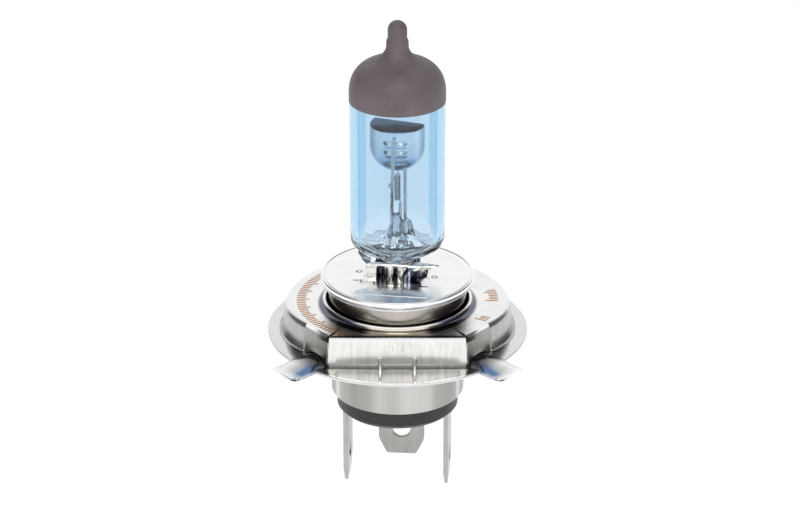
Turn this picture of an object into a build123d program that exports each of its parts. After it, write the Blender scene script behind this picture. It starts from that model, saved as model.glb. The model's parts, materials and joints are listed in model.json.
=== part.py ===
from build123d import *
import os

os.makedirs("parts", exist_ok=True)

# Twin-filament halogen headlight bulb, in millimetres.
# Origin: on the bulb axis, in the plane of the flange's upper face, which seats in the headlight.
# +Z points at the glass tip, and -Y at the flat side of the ring.

# Metal cap
FLANGE_R = 21.45
FLANGE_T = 0.5
LUG_R = 25.6
LUG_ANGLE = 45.5
LUG_W = 5.6
BACK_LUG_W = 8.0
LUG_RISE = 0.7
LUG_START_R = 19.6
LUG_OVERLAP = 0.5
SEAT_DEPTH = 0.1
SEAT_GAP = 0.05
RING_R = 19.0
RING_ROOT_R = 19.25
RING_ROOT_H = 1.35
RING_ROOT_STEP = 0.15
RING_TOP_R = 18.0
RING_H = 4.85
RING_STRAIGHT = 2.8
RING_T = 0.5
RING_ROUND = 0.8
CHORD_Y = 15.25
PLATE_BOTTOM = 0.5
ARCH_H = 1.1
ARCH_EXTRA_W = 1.2
COLLAR_R = 11.6
COLLAR_BASE_R = 12.8
COLLAR_H = 0.55
COLLAR_TOP_W = 0.45
NOTCH_X = 2.75
NOTCH_W = 0.5
NOTCH_H = 1.0
RIB_W = 0.3
RIB_H = 1.2
RIB_END_H = 0.3
RIB_INSIDE = 1.2
RIB_FLAT = 0.4
RIB_RIM_GAP = 0.5

# Base cup and focusing sleeve
SHELL_R = 11.0
SHELL_T = 0.4
SHELL_TOP = 3.5
SHELL_BOTTOM = -10.85
SHELL_LIP_R = 10.1
SHELL_ROUND = 0.35
NECK_R = 10.8
NECK_BOTTOM = -0.7
SLEEVE_T = 0.32
SLEEVE_BOTTOM = 1.2
DISC_R = 12.55
DISC_TOP = 9.7
DISC_T = 0.4
DISC_RIM_BOTTOM = 8.8
DISC_ROUND = 0.4
PIP_X = 6.25
PIP_Y = -0.7
PIP_R = 0.45
PIP_TURN = -5.3

# Insulator and blade terminals
INSULATOR_R = 10.07
INSULATOR_TOP = -7.0
INSULATOR_BOTTOM = -14.25
INSULATOR_CHAMFER = 0.7
BLADE_W = 7.8
BLADE_T = 0.8
BLADE_ROOT_T = 0.7
BLADE_ROOT_BOTTOM = -14.4
BLADE_TOP = -4.0
BLADE_TIP = -28.0
BLADE_END_W = 5.0
BLADE_TAPER = 2.9
BLADE_HOLE_R = 1.55
BLADE_HOLE_Z = -23.2
SIDE_BLADE_X = 8.4
MIDDLE_BLADE_Y = 7.9

# Quartz envelope
TUBE_R = 7.72
TUBE_WALL = 1.3
TUBE_BOTTOM = 16.2
DOME_START = 41.3
DOME_MID = (6.75, 44.3)
DOME_END = (4.6, 46.2)
TIP_ROOT_MID = (2.5, 47.1)
TIP_ROOT_END = (1.72, 48.8)
TIP_NECK = (1.7, 50.0)
TIP_STEP_Z = 50.35
TIP_R = 1.5
TIP_TOP = 53.25
COATING_T = 0.06
COATING_BOTTOM = 39.9
PINCH_W = 9.8
PINCH_T = 3.2
PINCH_TOP = 12.4
PINCH_BOTTOM = 0.5
GAS_DOME_MID = (5.75, 43.6)
GAS_DOME_END = (3.9, 45.05)
BORE_FOOT = (0.8, 46.0)
BORE_TOP_Z = 49.6
MOUND_TOP_Z = 20.6
MOUND_EDGE = (1.7, 20.0)
MOUND_MID = (2.5, 17.4)
MOUND_FOOT = (4.3, 15.7)
FLOOR_MID = (5.8, 16.1)
FLOOR_Z = 17.4

# Seal foils, leads, filaments and shield
FOIL_W = 2.2
FOIL_T = 0.1
FOIL_TOP = 10.0
FOIL_BOTTOM = 4.0
FOIL_PITCH = 3.0
ROD_R = 0.28
WIRE_R = 0.4
WIRE_END = -6.2
WELD_GAP = 0.1
WELD_TOP = -4.4
WELD_BOTTOM = -6.0
WELD_HALF_W = 0.75
SHIELD_R = 4.3
SHIELD_T = 0.25
SHIELD_TOP = 36.1
SHIELD_STRAIGHT = 33.3
SHIELD_CHORD_Y = 0.5
SHIELD_TURN = -15.0
SHIELD_ROD_Y = SHIELD_R + ROD_R
COIL_R = 0.55
COIL_WALL = 0.2
LEG_R = 0.12
LOW_COIL = (29.9, 34.7)
HIGH_COIL = (22.8, 27.0)
LEG_DROP = 0.35
HIGH_LEG = 0.8
LOW_LEAD_X = 1.15
LOW_LEAD_Y = 1.3
LOW_LEAD_FOOT = 15.4
LOW_LEAD_END = 30.1
HIGH_LEAD_Y = -0.1
HIGH_LEAD_FOOT = 16.4
LEAD_RISE = 12.2
COMMON_X = -0.85
COMMON_Y = -0.7
COMMON_FOOT = 15.0
COMMON_KNEE = 20.5
SHIELD_ROD_X = -0.7
SHIELD_ROD_FOOT = 27.2
SHIELD_ROD_END = (-0.45, 35.7)
ARM_INSET = 0.3
OUTER_WIRE_BEND = -0.8
OUTER_WIRE_KNEE = -3.2
ROD_BEND = 0.9

# Clip that grips the pinch and stands on the disc
CLIP_T = 0.35
CLIP_BOTTOM = 5.5
CLIP_TOP = 12.2
CLIP_FOOT_W = 6.0
CLIP_FOOT_REACH = 4.2
CLIP_FIT = 0.05

# The burner, the base cup and the terminals are turned a little in the ring.
BASE_TURN = -5.0
MARGIN = 30.0


def revolved(points):
    """Solid of revolution about Z from (radius, height) corners."""
    face = make_face(Polyline(*[(r, 0, z) for r, z in points], close=True))
    return revolve(face, Axis.Z)


def tube(r_out, r_in, z_low, z_high):
    return revolved([(r_in, z_low), (r_out, z_low), (r_out, z_high), (r_in, z_high)])


def block(x_low, x_high, y_low, y_high, z_low, z_high):
    size = (x_high - x_low, y_high - y_low, z_high - z_low)
    middle = ((x_low + x_high) / 2, (y_low + y_high) / 2, (z_low + z_high) / 2)
    return Pos(*middle) * Box(*size)


def rod_along(points, radius, bend):
    """Round wire through the given points, with its corners rounded."""
    path = Line(*points) if len(points) == 2 else FilletPolyline(*points, radius=bend)
    start = Plane(origin=path @ 0, z_dir=path % 0)
    return sweep(start * Circle(radius), path=path)


def section_point(point, grow=0.0, lift=0.0):
    """Point in the XZ plane from (radius, height), moved out by grow and up by lift."""
    return (point[0] + grow, 0, point[1] + lift)


def envelope_form(grow):
    """Solid form of the closed tube and its exhaust tip, moved out by grow."""
    end_z = TIP_TOP - TIP_R
    wall_low = section_point((TUBE_R, TUBE_BOTTOM), grow)
    wall_high = section_point((TUBE_R, DOME_START), grow)
    dome_end = section_point(DOME_END, grow, grow)
    root_end = section_point(TIP_ROOT_END, grow)
    tip_low = section_point((TIP_R, TIP_STEP_Z), grow)
    tip_high = section_point((TIP_R, end_z), grow)
    wall = Line(wall_low, wall_high)
    dome = ThreePointArc(wall_high, section_point(DOME_MID, grow), dome_end)
    root = ThreePointArc(dome_end, section_point(TIP_ROOT_MID, grow, grow), root_end)
    neck = Polyline(root_end, section_point(TIP_NECK, grow), tip_low, tip_high)
    core = Polyline(tip_high, (0, 0, end_z), (0, 0, TUBE_BOTTOM), wall_low)
    body = revolve(make_face(Curve() + [wall, dome, root, neck, core]), Axis.Z)
    return body + Pos(0, 0, end_z) * Sphere(TIP_R + grow)


def gas_space():
    """Hollow inside the tube, with the sealed exhaust bore and the mound on its floor."""
    wall_low = section_point((TUBE_R - TUBE_WALL, FLOOR_Z))
    wall_high = section_point((TUBE_R - TUBE_WALL, DOME_START))
    dome_end = section_point(GAS_DOME_END)
    mound_edge = section_point(MOUND_EDGE)
    mound_foot = section_point(MOUND_FOOT)
    wall = Line(wall_low, wall_high)
    dome = ThreePointArc(wall_high, section_point(GAS_DOME_MID), dome_end)
    bore = Polyline(dome_end, section_point(BORE_FOOT), (0, 0, BORE_TOP_Z))
    core = Polyline((0, 0, BORE_TOP_Z), (0, 0, MOUND_TOP_Z), mound_edge)
    mound = ThreePointArc(mound_edge, section_point(MOUND_MID), mound_foot)
    floor = ThreePointArc(mound_foot, section_point(FLOOR_MID), wall_low)
    return revolve(make_face(Curve() + [wall, dome, bore, core, mound, floor]), Axis.Z)


def pinch_section():
    return RectangleRounded(PINCH_W, PINCH_T, 0.5)


def glass_envelope(embedded):
    body = envelope_form(0)
    shoulder = loft([Pos(0, 0, TUBE_BOTTOM) * Circle(TUBE_R), Pos(0, 0, PINCH_TOP) * pinch_section()])
    pinch = Pos(0, 0, PINCH_BOTTOM) * extrude(pinch_section(), PINCH_TOP - PINCH_BOTTOM)
    solid = body + shoulder + pinch - gas_space()
    for piece in embedded:
        solid = solid - piece
    return solid


def tip_coating():
    skin = envelope_form(COATING_T) - envelope_form(0)
    return skin & block(-MARGIN, MARGIN, -MARGIN, MARGIN, COATING_BOTTOM, TIP_TOP + MARGIN)


def shield_form(radius, top):
    """Round-bottomed cup form, cut by the turned chord plane."""
    cup = Pos(0, 0, SHIELD_STRAIGHT) * Sphere(radius) + tube(radius, 0, SHIELD_STRAIGHT, top)
    keep = block(-MARGIN, MARGIN, -MARGIN, SHIELD_CHORD_Y, 0, top)
    return cup & Rot(0, 0, SHIELD_TURN) * keep


def beam_shield():
    hollow = shield_form(SHIELD_R - SHIELD_T, SHIELD_TOP - SHIELD_T)
    return shield_form(SHIELD_R, SHIELD_TOP) - hollow


def coil(span):
    """Wound filament as a thin-walled tube of the coil's outer size."""
    return tube(COIL_R, COIL_R - COIL_WALL, span[0], span[1])


def filament_low(lead):
    """Low-beam coil, with one leg to its lead and one to the end wall of the shield."""
    ring_r = COIL_R - COIL_WALL / 2
    top_leg = rod_along([(0, -ring_r, LOW_COIL[1]), (0, -ring_r, SHIELD_TOP - SHIELD_T)], LEG_R, 0)
    foot = LOW_COIL[0] - LEG_DROP
    points = [(ring_r, 0, LOW_COIL[0]), (ring_r, 0, foot), (LOW_LEAD_X, LOW_LEAD_Y, foot)]
    bottom_leg = rod_along(points, LEG_R, LEG_R * 1.5)
    return coil(LOW_COIL) + top_leg + (bottom_leg - lead)


def filament_high():
    """High-beam coil, with one leg to the shield rod and one to its lead."""
    ring_r = COIL_R - COIL_WALL / 2
    top_leg = rod_along([(0, -ring_r, HIGH_COIL[1]), (0, -ring_r, HIGH_COIL[1] + HIGH_LEG)], LEG_R, 0)
    bottom_leg = rod_along([(ring_r, 0, HIGH_COIL[0]), (ring_r, 0, HIGH_COIL[0] - HIGH_LEG)], LEG_R, 0)
    return coil(HIGH_COIL) + top_leg + bottom_leg


def shield_rod():
    """Thick common lead that carries the shield, with the arm that feeds the high-beam coil."""
    points = [
        (-FOIL_PITCH, 0, FOIL_TOP),
        (-FOIL_PITCH, 0, LEAD_RISE),
        (COMMON_X, COMMON_Y, COMMON_FOOT),
        (COMMON_X, COMMON_Y, COMMON_KNEE),
        (SHIELD_ROD_X, -SHIELD_ROD_Y, SHIELD_ROD_FOOT),
        (SHIELD_ROD_END[0], -SHIELD_ROD_Y, SHIELD_ROD_END[1]),
    ]
    rod = rod_along(points, ROD_R, ROD_BEND)
    ring_r = COIL_R - COIL_WALL / 2
    arm_z = HIGH_COIL[1] + HIGH_LEG + LEG_R
    arm_points = [(0, ARM_INSET - ring_r, arm_z), (SHIELD_ROD_X, ROD_R - SHIELD_ROD_Y, arm_z)]
    return rod + rod_along(arm_points, LEG_R, 0)


def low_lead():
    points = [
        (0, 0, FOIL_TOP),
        (0, 0, LEAD_RISE),
        (LOW_LEAD_X, LOW_LEAD_Y, LOW_LEAD_FOOT),
        (LOW_LEAD_X, LOW_LEAD_Y, LOW_LEAD_END),
    ]
    return rod_along(points, ROD_R, ROD_BEND)


def high_lead():
    ring_r = COIL_R - COIL_WALL / 2
    points = [
        (FOIL_PITCH, 0, FOIL_TOP),
        (FOIL_PITCH, 0, LEAD_RISE),
        (ring_r, HIGH_LEAD_Y, HIGH_LEAD_FOOT),
        (ring_r, 0, HIGH_COIL[0] - HIGH_LEG),
    ]
    return rod_along(points, ROD_R, ROD_BEND)


def seal_foil(x):
    return block(x - FOIL_W / 2, x + FOIL_W / 2, -FOIL_T / 2, FOIL_T / 2, FOIL_BOTTOM, FOIL_TOP)


def outer_lead(foil_x, blade_x, blade_y):
    """Wire from the foot of a foil out of the pinch to the inner face of a blade."""
    points = [
        (foil_x, 0, FOIL_BOTTOM),
        (foil_x, 0, OUTER_WIRE_BEND),
        (blade_x, blade_y, OUTER_WIRE_KNEE),
        (blade_x, blade_y, WIRE_END),
    ]
    return rod_along(points, WIRE_R, ROD_BEND)


def lead_weld(wire):
    """Weld pad between a wire and its blade: on the right-hand side, before it is turned to its place."""
    face = SIDE_BLADE_X - BLADE_ROOT_T / 2
    pad = block(face - WELD_GAP - WIRE_R, face, -WELD_HALF_W, WELD_HALF_W, WELD_BOTTOM, WELD_TOP)
    return pad - wire


def pinch_clip():
    """Sheet sleeve round the pinch, with a foot on the disc in front and behind."""
    half_w = PINCH_W / 2
    half_t = PINCH_T / 2
    outer = block(
        -half_w - CLIP_T, half_w + CLIP_T, -half_t - CLIP_T, half_t + CLIP_T, CLIP_BOTTOM, CLIP_TOP
    )
    bore = block(-half_w, half_w, -half_t, half_t, CLIP_BOTTOM, CLIP_TOP)
    clip = outer - bore
    for side in (-1, 1):
        y_pair = sorted([side * half_t, side * (half_t + CLIP_FOOT_REACH)])
        foot = block(
            -CLIP_FOOT_W / 2, CLIP_FOOT_W / 2, y_pair[0], y_pair[1], DISC_TOP, DISC_TOP + CLIP_T
        )
        clip = clip + (foot - bore)
    return clip


def burner_disc():
    sleeve_r = SHELL_R + SLEEVE_T
    plate = tube(DISC_R, 0.0, DISC_RIM_BOTTOM, DISC_TOP)
    rim_edges = plate.edges().filter_by(GeomType.CIRCLE).group_by(SortBy.RADIUS)[-1]
    disc = fillet(rim_edges, DISC_ROUND)
    disc = disc - tube(sleeve_r, 0, DISC_RIM_BOTTOM, DISC_TOP - DISC_T)
    half_w = PINCH_W / 2 + CLIP_T + CLIP_FIT
    half_t = PINCH_T / 2 + CLIP_T + CLIP_FIT
    disc = disc - block(-half_w, half_w, -half_t, half_t, DISC_RIM_BOTTOM, DISC_TOP + 1)
    for side in (-1, 1):
        hole = Rot(0, 0, PIP_TURN) * Pos(side * PIP_X, PIP_Y, DISC_TOP) * Cylinder(PIP_R, 2 * DISC_T)
        disc = disc - hole
    return disc


def adjusting_sleeve():
    return tube(SHELL_R + SLEEVE_T, NECK_R, SLEEVE_BOTTOM, DISC_TOP - DISC_T)


def ring_form(shrink, rounding):
    """Solid form of the ring: a low drum with a flat chord, its top edge rounded."""
    height = RING_H - shrink
    form = revolved([
        (0, -SEAT_DEPTH),
        (RING_ROOT_R - shrink, -SEAT_DEPTH),
        (RING_ROOT_R - shrink, RING_ROOT_H),
        (RING_R - shrink, RING_ROOT_H + RING_ROOT_STEP),
        (RING_R - shrink, RING_STRAIGHT - shrink),
        (RING_TOP_R - shrink, height),
        (0, height),
    ])
    form = form & block(-MARGIN, MARGIN, shrink - CHORD_Y, MARGIN, -SEAT_DEPTH, height)
    top_edges = form.faces().sort_by(Axis.Z)[-1].edges()
    return fillet(top_edges, rounding)


def lug_angles():
    """Bearing of each lug about Z, counted from the flat side, with its width."""
    return [(-LUG_ANGLE, LUG_W), (LUG_ANGLE, LUG_W), (180.0, BACK_LUG_W)]


def focus_ring():
    ring = ring_form(0, RING_ROUND) - ring_form(RING_T, RING_ROUND / 2)
    ring = ring - Pos(0, 0, RING_H) * Cylinder(COLLAR_BASE_R, RING_H)
    collar_top = RING_H + COLLAR_H
    collar = revolved([
        (COLLAR_R, RING_H - RING_T),
        (COLLAR_BASE_R, RING_H - RING_T),
        (COLLAR_BASE_R, RING_H),
        (COLLAR_R + COLLAR_TOP_W, collar_top),
        (COLLAR_R, collar_top),
    ])
    ring = ring + collar
    ring = ring - block(-MARGIN, MARGIN, -MARGIN, -CHORD_Y + RING_T, -1, PLATE_BOTTOM)
    for side in (-1, 1):
        x = side * NOTCH_X
        notch = block(x - NOTCH_W / 2, x + NOTCH_W / 2, -MARGIN, -CHORD_Y + 1, 0, PLATE_BOTTOM + NOTCH_H)
        ring = ring - notch
    for angle, width in lug_angles():
        half = (width + ARCH_EXTRA_W) / 2
        arch = block(-half, half, -MARGIN, -RING_R / 2, -1, ARCH_H)
        ring = ring - Rot(0, 0, angle) * arch
    return ring


def lug(width):
    """One locating lug, arched across its width, on the -Y side."""
    half = width / 2
    top_arc = ThreePointArc((-half, 0, 0), (0, 0, LUG_RISE), (half, 0, 0))
    low_arc = ThreePointArc((half, 0, -FLANGE_T), (0, 0, LUG_RISE - FLANGE_T), (-half, 0, -FLANGE_T))
    right = Line(top_arc @ 1, low_arc @ 0)
    left = Line(low_arc @ 1, top_arc @ 0)
    bottom = Line((half, 0, -FLANGE_T), (-half, 0, -FLANGE_T))
    strip = extrude(make_face(Wire([top_arc, right, low_arc, left])), LUG_R, dir=(0, -1, 0))
    strip = strip & tube(LUG_R, FLANGE_R - LUG_OVERLAP, -FLANGE_T, RING_H)
    boss = extrude(make_face(Wire([top_arc, right, bottom, left])), FLANGE_R, dir=(0, -1, 0))
    boss = boss & revolved([
        (LUG_START_R, -FLANGE_T),
        (FLANGE_R, -FLANGE_T),
        (FLANGE_R, FLANGE_R - LUG_START_R),
        (LUG_START_R, 0),
    ])
    return strip + boss


def flange_rib(x):
    """Rib that runs from inside the ring through its notch to the rim of the flange."""
    inside = RIB_INSIDE - CHORD_Y
    rim_end = RIB_RIM_GAP - FLANGE_R
    outline = Polyline(
        (x, inside, -FLANGE_T / 2),
        (x, inside, RIB_H),
        (x, -CHORD_Y - RIB_FLAT, RIB_H),
        (x, rim_end, RIB_END_H),
        (x, rim_end, -FLANGE_T / 2),
        close=True,
    )
    return extrude(make_face(outline), RIB_W / 2, dir=(1, 0, 0), both=True)


def flange_plate():
    """Plate with a shallow seat for the ring, so that its rim is a face of its own."""
    plate = tube(FLANGE_R, NECK_R, -FLANGE_T, 0)
    seat = tube(RING_ROOT_R + SEAT_GAP, 0, -SEAT_DEPTH, FLANGE_T)
    plate = plate - (seat & block(-MARGIN, MARGIN, -CHORD_Y - SEAT_GAP, MARGIN, -SEAT_DEPTH, FLANGE_T))
    for angle, width in lug_angles():
        plate = plate + Rot(0, 0, angle) * lug(width)
    for side in (-1, 1):
        plate = plate + flange_rib(side * NOTCH_X)
    return plate


def shell():
    wall = tube(SHELL_R, SHELL_R - SHELL_T, SHELL_BOTTOM, NECK_BOTTOM)
    neck = tube(NECK_R, NECK_R - SHELL_T, NECK_BOTTOM - SHELL_T, SHELL_TOP)
    shoulder = tube(SHELL_R, NECK_R - SHELL_T, NECK_BOTTOM - SHELL_T, NECK_BOTTOM)
    lip = tube(SHELL_R, SHELL_LIP_R, SHELL_BOTTOM, SHELL_BOTTOM + SHELL_T)
    cup = wall + shoulder + neck + lip
    bottom_edges = cup.edges().filter_by(GeomType.CIRCLE).group_by(Axis.Z)[0]
    outer_edge = bottom_edges.sort_by(SortBy.RADIUS)[-1]
    return fillet(outer_edge, SHELL_ROUND)


def blade():
    """Spade blade in the XZ plane, centred on the axis, thinner where the insulator holds it."""
    half = BLADE_W / 2
    end = BLADE_END_W / 2
    outline = Polyline(
        (-half, 0, BLADE_TOP),
        (-half, 0, BLADE_TIP + BLADE_TAPER),
        (-end, 0, BLADE_TIP),
        (end, 0, BLADE_TIP),
        (half, 0, BLADE_TIP + BLADE_TAPER),
        (half, 0, BLADE_TOP),
        close=True,
    )
    plate = extrude(make_face(outline), BLADE_T / 2, dir=(0, 1, 0), both=True)
    plate = plate - Pos(0, 0, BLADE_HOLE_Z) * Rot(90, 0, 0) * Cylinder(BLADE_HOLE_R, 2 * BLADE_T)
    thin = BLADE_ROOT_T / 2
    for y_low, y_high in ((-BLADE_T, -thin), (thin, BLADE_T)):
        plate = plate - block(-half, half, y_low, y_high, BLADE_ROOT_BOTTOM, BLADE_TOP)
    return plate


def insulator(blades):
    """Moulded plug, held behind the lip of the shell, with a slot for each blade."""
    plug = revolved([
        (0, INSULATOR_BOTTOM),
        (INSULATOR_R - INSULATOR_CHAMFER, INSULATOR_BOTTOM),
        (INSULATOR_R, INSULATOR_BOTTOM + INSULATOR_CHAMFER),
        (INSULATOR_R, SHELL_BOTTOM + SHELL_T),
        (SHELL_R - SHELL_T, SHELL_BOTTOM + SHELL_T),
        (SHELL_R - SHELL_T, INSULATOR_TOP),
        (0, INSULATOR_TOP),
    ])
    for piece in blades:
        plug = plug - piece
    return plug


def build():
    left_blade = Pos(-SIDE_BLADE_X, 0, 0) * Rot(0, 0, 90) * blade()
    right_blade = Pos(SIDE_BLADE_X, 0, 0) * Rot(0, 0, 90) * blade()
    middle_blade = Pos(0, MIDDLE_BLADE_Y, 0) * blade()

    wire_x = SIDE_BLADE_X - BLADE_ROOT_T / 2 - WIRE_R - WELD_GAP
    wire_y = MIDDLE_BLADE_Y - BLADE_ROOT_T / 2 - WIRE_R - WELD_GAP
    wire_common = outer_lead(-FOIL_PITCH, -wire_x, 0)
    wire_low = outer_lead(0, 0, wire_y)
    wire_high = outer_lead(FOIL_PITCH, wire_x, 0)

    foil_common = seal_foil(-FOIL_PITCH)
    foil_low = seal_foil(0)
    foil_high = seal_foil(FOIL_PITCH)
    rod_common = shield_rod()
    rod_low = low_lead()
    rod_high = high_lead()
    embedded = [foil_common, foil_low, foil_high, rod_common, rod_low, rod_high]
    embedded += [wire_common, wire_low, wire_high]

    pad = lead_weld(wire_high)
    shift = MIDDLE_BLADE_Y - SIDE_BLADE_X
    welds = pad + Rot(0, 0, 180) * pad + Pos(0, shift, 0) * Rot(0, 0, 90) * pad

    turned = {
        "glass_envelope": glass_envelope(embedded),
        "tip_coating": tip_coating(),
        "beam_shield": beam_shield(),
        "low_beam_filament": filament_low(rod_low),
        "high_beam_filament": filament_high(),
        "shield_support_rod": rod_common,
        "low_beam_lead": rod_low,
        "high_beam_lead": rod_high,
        "seal_foil_common": foil_common,
        "seal_foil_low": foil_low,
        "seal_foil_high": foil_high,
        "outer_wire_common": wire_common,
        "outer_wire_low": wire_low,
        "outer_wire_high": wire_high,
        "pinch_clip": pinch_clip(),
        "burner_disc": burner_disc(),
        "adjusting_sleeve": adjusting_sleeve(),
        "base_shell": shell(),
        "insulator": insulator([left_blade, right_blade, middle_blade]),
        "terminal_left": left_blade,
        "terminal_right": right_blade,
        "terminal_middle": middle_blade,
        "wire_welds": welds,
    }
    pieces = {name: Rot(0, 0, BASE_TURN) * shape for name, shape in turned.items()}
    pieces["focus_ring"] = focus_ring()
    pieces["flange_plate"] = flange_plate()
    return pieces


for node, shape in build().items():
    export_step(shape, f"parts/{node}.step")
    print(node, round(shape.volume, 3), len(shape.solids()))
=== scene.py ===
import json
import math
import bmesh
import bpy
from mathutils import Matrix, Vector, noise


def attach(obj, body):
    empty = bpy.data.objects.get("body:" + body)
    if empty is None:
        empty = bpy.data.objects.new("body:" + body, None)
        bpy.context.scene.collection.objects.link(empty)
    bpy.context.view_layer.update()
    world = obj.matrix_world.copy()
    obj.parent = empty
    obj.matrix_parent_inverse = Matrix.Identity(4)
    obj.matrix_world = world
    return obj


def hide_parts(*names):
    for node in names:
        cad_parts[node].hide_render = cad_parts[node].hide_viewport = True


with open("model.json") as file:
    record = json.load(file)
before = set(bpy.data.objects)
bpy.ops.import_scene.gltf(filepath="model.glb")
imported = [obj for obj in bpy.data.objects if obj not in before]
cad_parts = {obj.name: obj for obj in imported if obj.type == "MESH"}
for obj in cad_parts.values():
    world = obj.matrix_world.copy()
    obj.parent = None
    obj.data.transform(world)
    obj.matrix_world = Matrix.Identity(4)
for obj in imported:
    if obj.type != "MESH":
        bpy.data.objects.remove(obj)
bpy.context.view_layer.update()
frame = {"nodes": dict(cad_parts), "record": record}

# Lengths are in millimetres and become metres in build_mesh, the modifiers, the shader helpers and the
# placing calls. The camera and the light are in metres.
MM = 0.001
BASE_TURN = math.radians(-5.0)
TAU = 2 * math.pi

# Driving sizes. Most are the CAD model's. The shield is larger and thinner, the ring's sheet is 0.05 mm thinner,
# the shell is 0.1 mm longer, and the flange and lugs are 0.01 mm smaller.
FLANGE_R, FLANGE_T = 21.44, 0.5
LUG_R, LUG_ANGLE, LUG_W, BACK_LUG_W = 25.59, 45.5, 5.6, 8.0
RING_WALL, RING_R, PLATE_END_DEG, MARK_PITCH_DEG = 0.45, 19.0, 37.4, 2.4
NOTCH_X = 2.75
SHELL_R, SHELL_T, SHELL_TOP, SHELL_BOTTOM = 11.0, 0.4, 3.5, -10.95
SLEEVE_R, SLEEVE_LOW, SLEEVE_HIGH = 11.32, 1.2, 9.3
DISC_TOP = 9.7
BLADE_W, BLADE_T, BLADE_TIP, BLADE_END_W, BLADE_TAPER = 7.8, 0.8, -28.0, 5.0, 2.9
BLADE_HOLE_R, BLADE_HOLE_Z, BLADE_TOP = 1.55, -23.2, -4.0
TUBE_R, TUBE_WALL, FLOOR_BEND, GLASS_COUNT = 7.72, 1.3, 1.6, 192
PINCH_BOTTOM = 0.5
PINCH_HALF_W, PINCH_HALF_T = 4.9, 1.6
DOME_Z, TIP_TOP, TIP_R = 41.3, 53.25, 1.5
COATING_T, COATING_BOTTOM = 0.06, 39.9
SHIELD_R, SHIELD_T, SHIELD_TOP, SHIELD_STRAIGHT = 4.45, 0.22, 36.4, 32.7
SHIELD_CHORD_Y, SHIELD_TURN = 0.5, math.radians(-15.0)
ROD_R = 0.28
SIDE_BLADE_X, MIDDLE_BLADE_Y = 8.4, 7.9
# Colours of the clip: its bright steel and two depths of painted shade for its hollows.
LIGHT, PAINTED_SHADE, PAINTED_DEEP_SHADE = (0.88, 0.87, 0.85), (0.06, 0.065, 0.08), (0.02, 0.02, 0.025)


# ---------------------------------------------------------------- mesh helpers

def add_object(name, mesh):
    obj = bpy.data.objects.new(name, mesh)
    bpy.context.scene.collection.objects.link(obj)
    return obj


def build_mesh(name, verts, faces):
    """Mesh object from millimetre points."""
    mesh = bpy.data.meshes.new(name)
    mesh.from_pydata([tuple(c * MM for c in v) for v in verts], [], faces)
    mesh.validate()
    bm = bmesh.new()
    bm.from_mesh(mesh)
    bmesh.ops.remove_doubles(bm, verts=bm.verts, dist=1e-7)
    bmesh.ops.dissolve_degenerate(bm, edges=bm.edges, dist=1e-8)
    bmesh.ops.recalc_face_normals(bm, faces=bm.faces)
    bm.to_mesh(mesh)
    bm.free()
    return add_object(name, mesh)


def shade(obj, angle=35.0):
    """Smooth shading, with edges sharper than the angle kept crisp."""
    mesh = obj.data
    mesh.shade_smooth()
    bm = bmesh.new()
    bm.from_mesh(mesh)
    limit = math.radians(angle)
    for edge in bm.edges:
        if len(edge.link_faces) == 2:
            edge.smooth = edge.calc_face_angle(0.0) < limit
    bm.to_mesh(mesh)
    bm.free()
    return obj


def apply_modifiers(obj):
    """Replaces the mesh with its evaluated result."""
    bpy.context.view_layer.update()
    graph = bpy.context.evaluated_depsgraph_get()
    result = bpy.data.meshes.new_from_object(obj.evaluated_get(graph))
    obj.modifiers.clear()
    obj.data = result
    return obj


def rounded(corners, steps=5):
    """Closed outline from (r, z, radius) corners, with an arc at each corner that has a radius."""
    out = []
    count = len(corners)
    for i, corner in enumerate(corners):
        point = Vector(corner[:2])
        radius = corner[2] if len(corner) > 2 else 0.0
        if radius <= 0:
            out.append(tuple(point))
            continue
        before = Vector(corners[i - 1][:2]) - point
        after = Vector(corners[(i + 1) % count][:2]) - point
        half = before.angle(after) / 2
        cut = min(radius / math.tan(half), before.length * 0.49, after.length * 0.49)
        bend = cut * math.tan(half)
        centre = point + (before.normalized() + after.normalized()).normalized() * (bend / math.sin(half))
        first = point + before.normalized() * cut - centre
        last = point + after.normalized() * cut - centre
        sweep = first.angle(last)
        for k in range(steps + 1):
            t = k / steps
            spoke = (first * math.sin((1 - t) * sweep) + last * math.sin(t * sweep)) / math.sin(sweep)
            out.append(tuple(centre + spoke))
    return out


def circle(u, v, radius, count):
    """Plane points on a circle."""
    angles = [TAU * k / count for k in range(count)]
    return [(u + radius * math.cos(a), v + radius * math.sin(a)) for a in angles]


def curve_point(a, b, c, t):
    """Point of a quadratic curve at t."""
    return tuple((1 - t) ** 2 * p + 2 * t * (1 - t) * q + t * t * r for p, q, r in zip(a, b, c))


def sweep_rows(name, rows):
    """Mesh over closed rows that run once round the axis."""
    size, count = len(rows[0]), len(rows)
    faces = []
    for i in range(count):
        j = (i + 1) % count
        for k in range(size):
            m = (k + 1) % size
            faces.append((i * size + k, j * size + k, j * size + m, i * size + m))
    return build_mesh(name, [p for row in rows for p in row], faces)


def lathe(name, outline, segments):
    """Closed outline of (r, z) points turned about Z."""
    angles = [TAU * i / segments for i in range(segments)]
    return sweep_rows(name, [[(r * math.cos(a), r * math.sin(a), z) for r, z in outline] for a in angles])


def loft_rows(rows):
    """Vertices and faces of a skin over closed rows of equal length, with a cap at each end."""
    size = len(rows[0])
    verts = [p for row in rows for p in row]
    faces = []
    for i in range(len(rows) - 1):
        for k in range(size):
            m = (k + 1) % size
            faces.append((i * size + k, i * size + m, (i + 1) * size + m, (i + 1) * size + k))
    faces.append(tuple(range(size - 1, -1, -1)))
    faces.append(tuple((len(rows) - 1) * size + k for k in range(size)))
    return verts, faces


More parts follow.
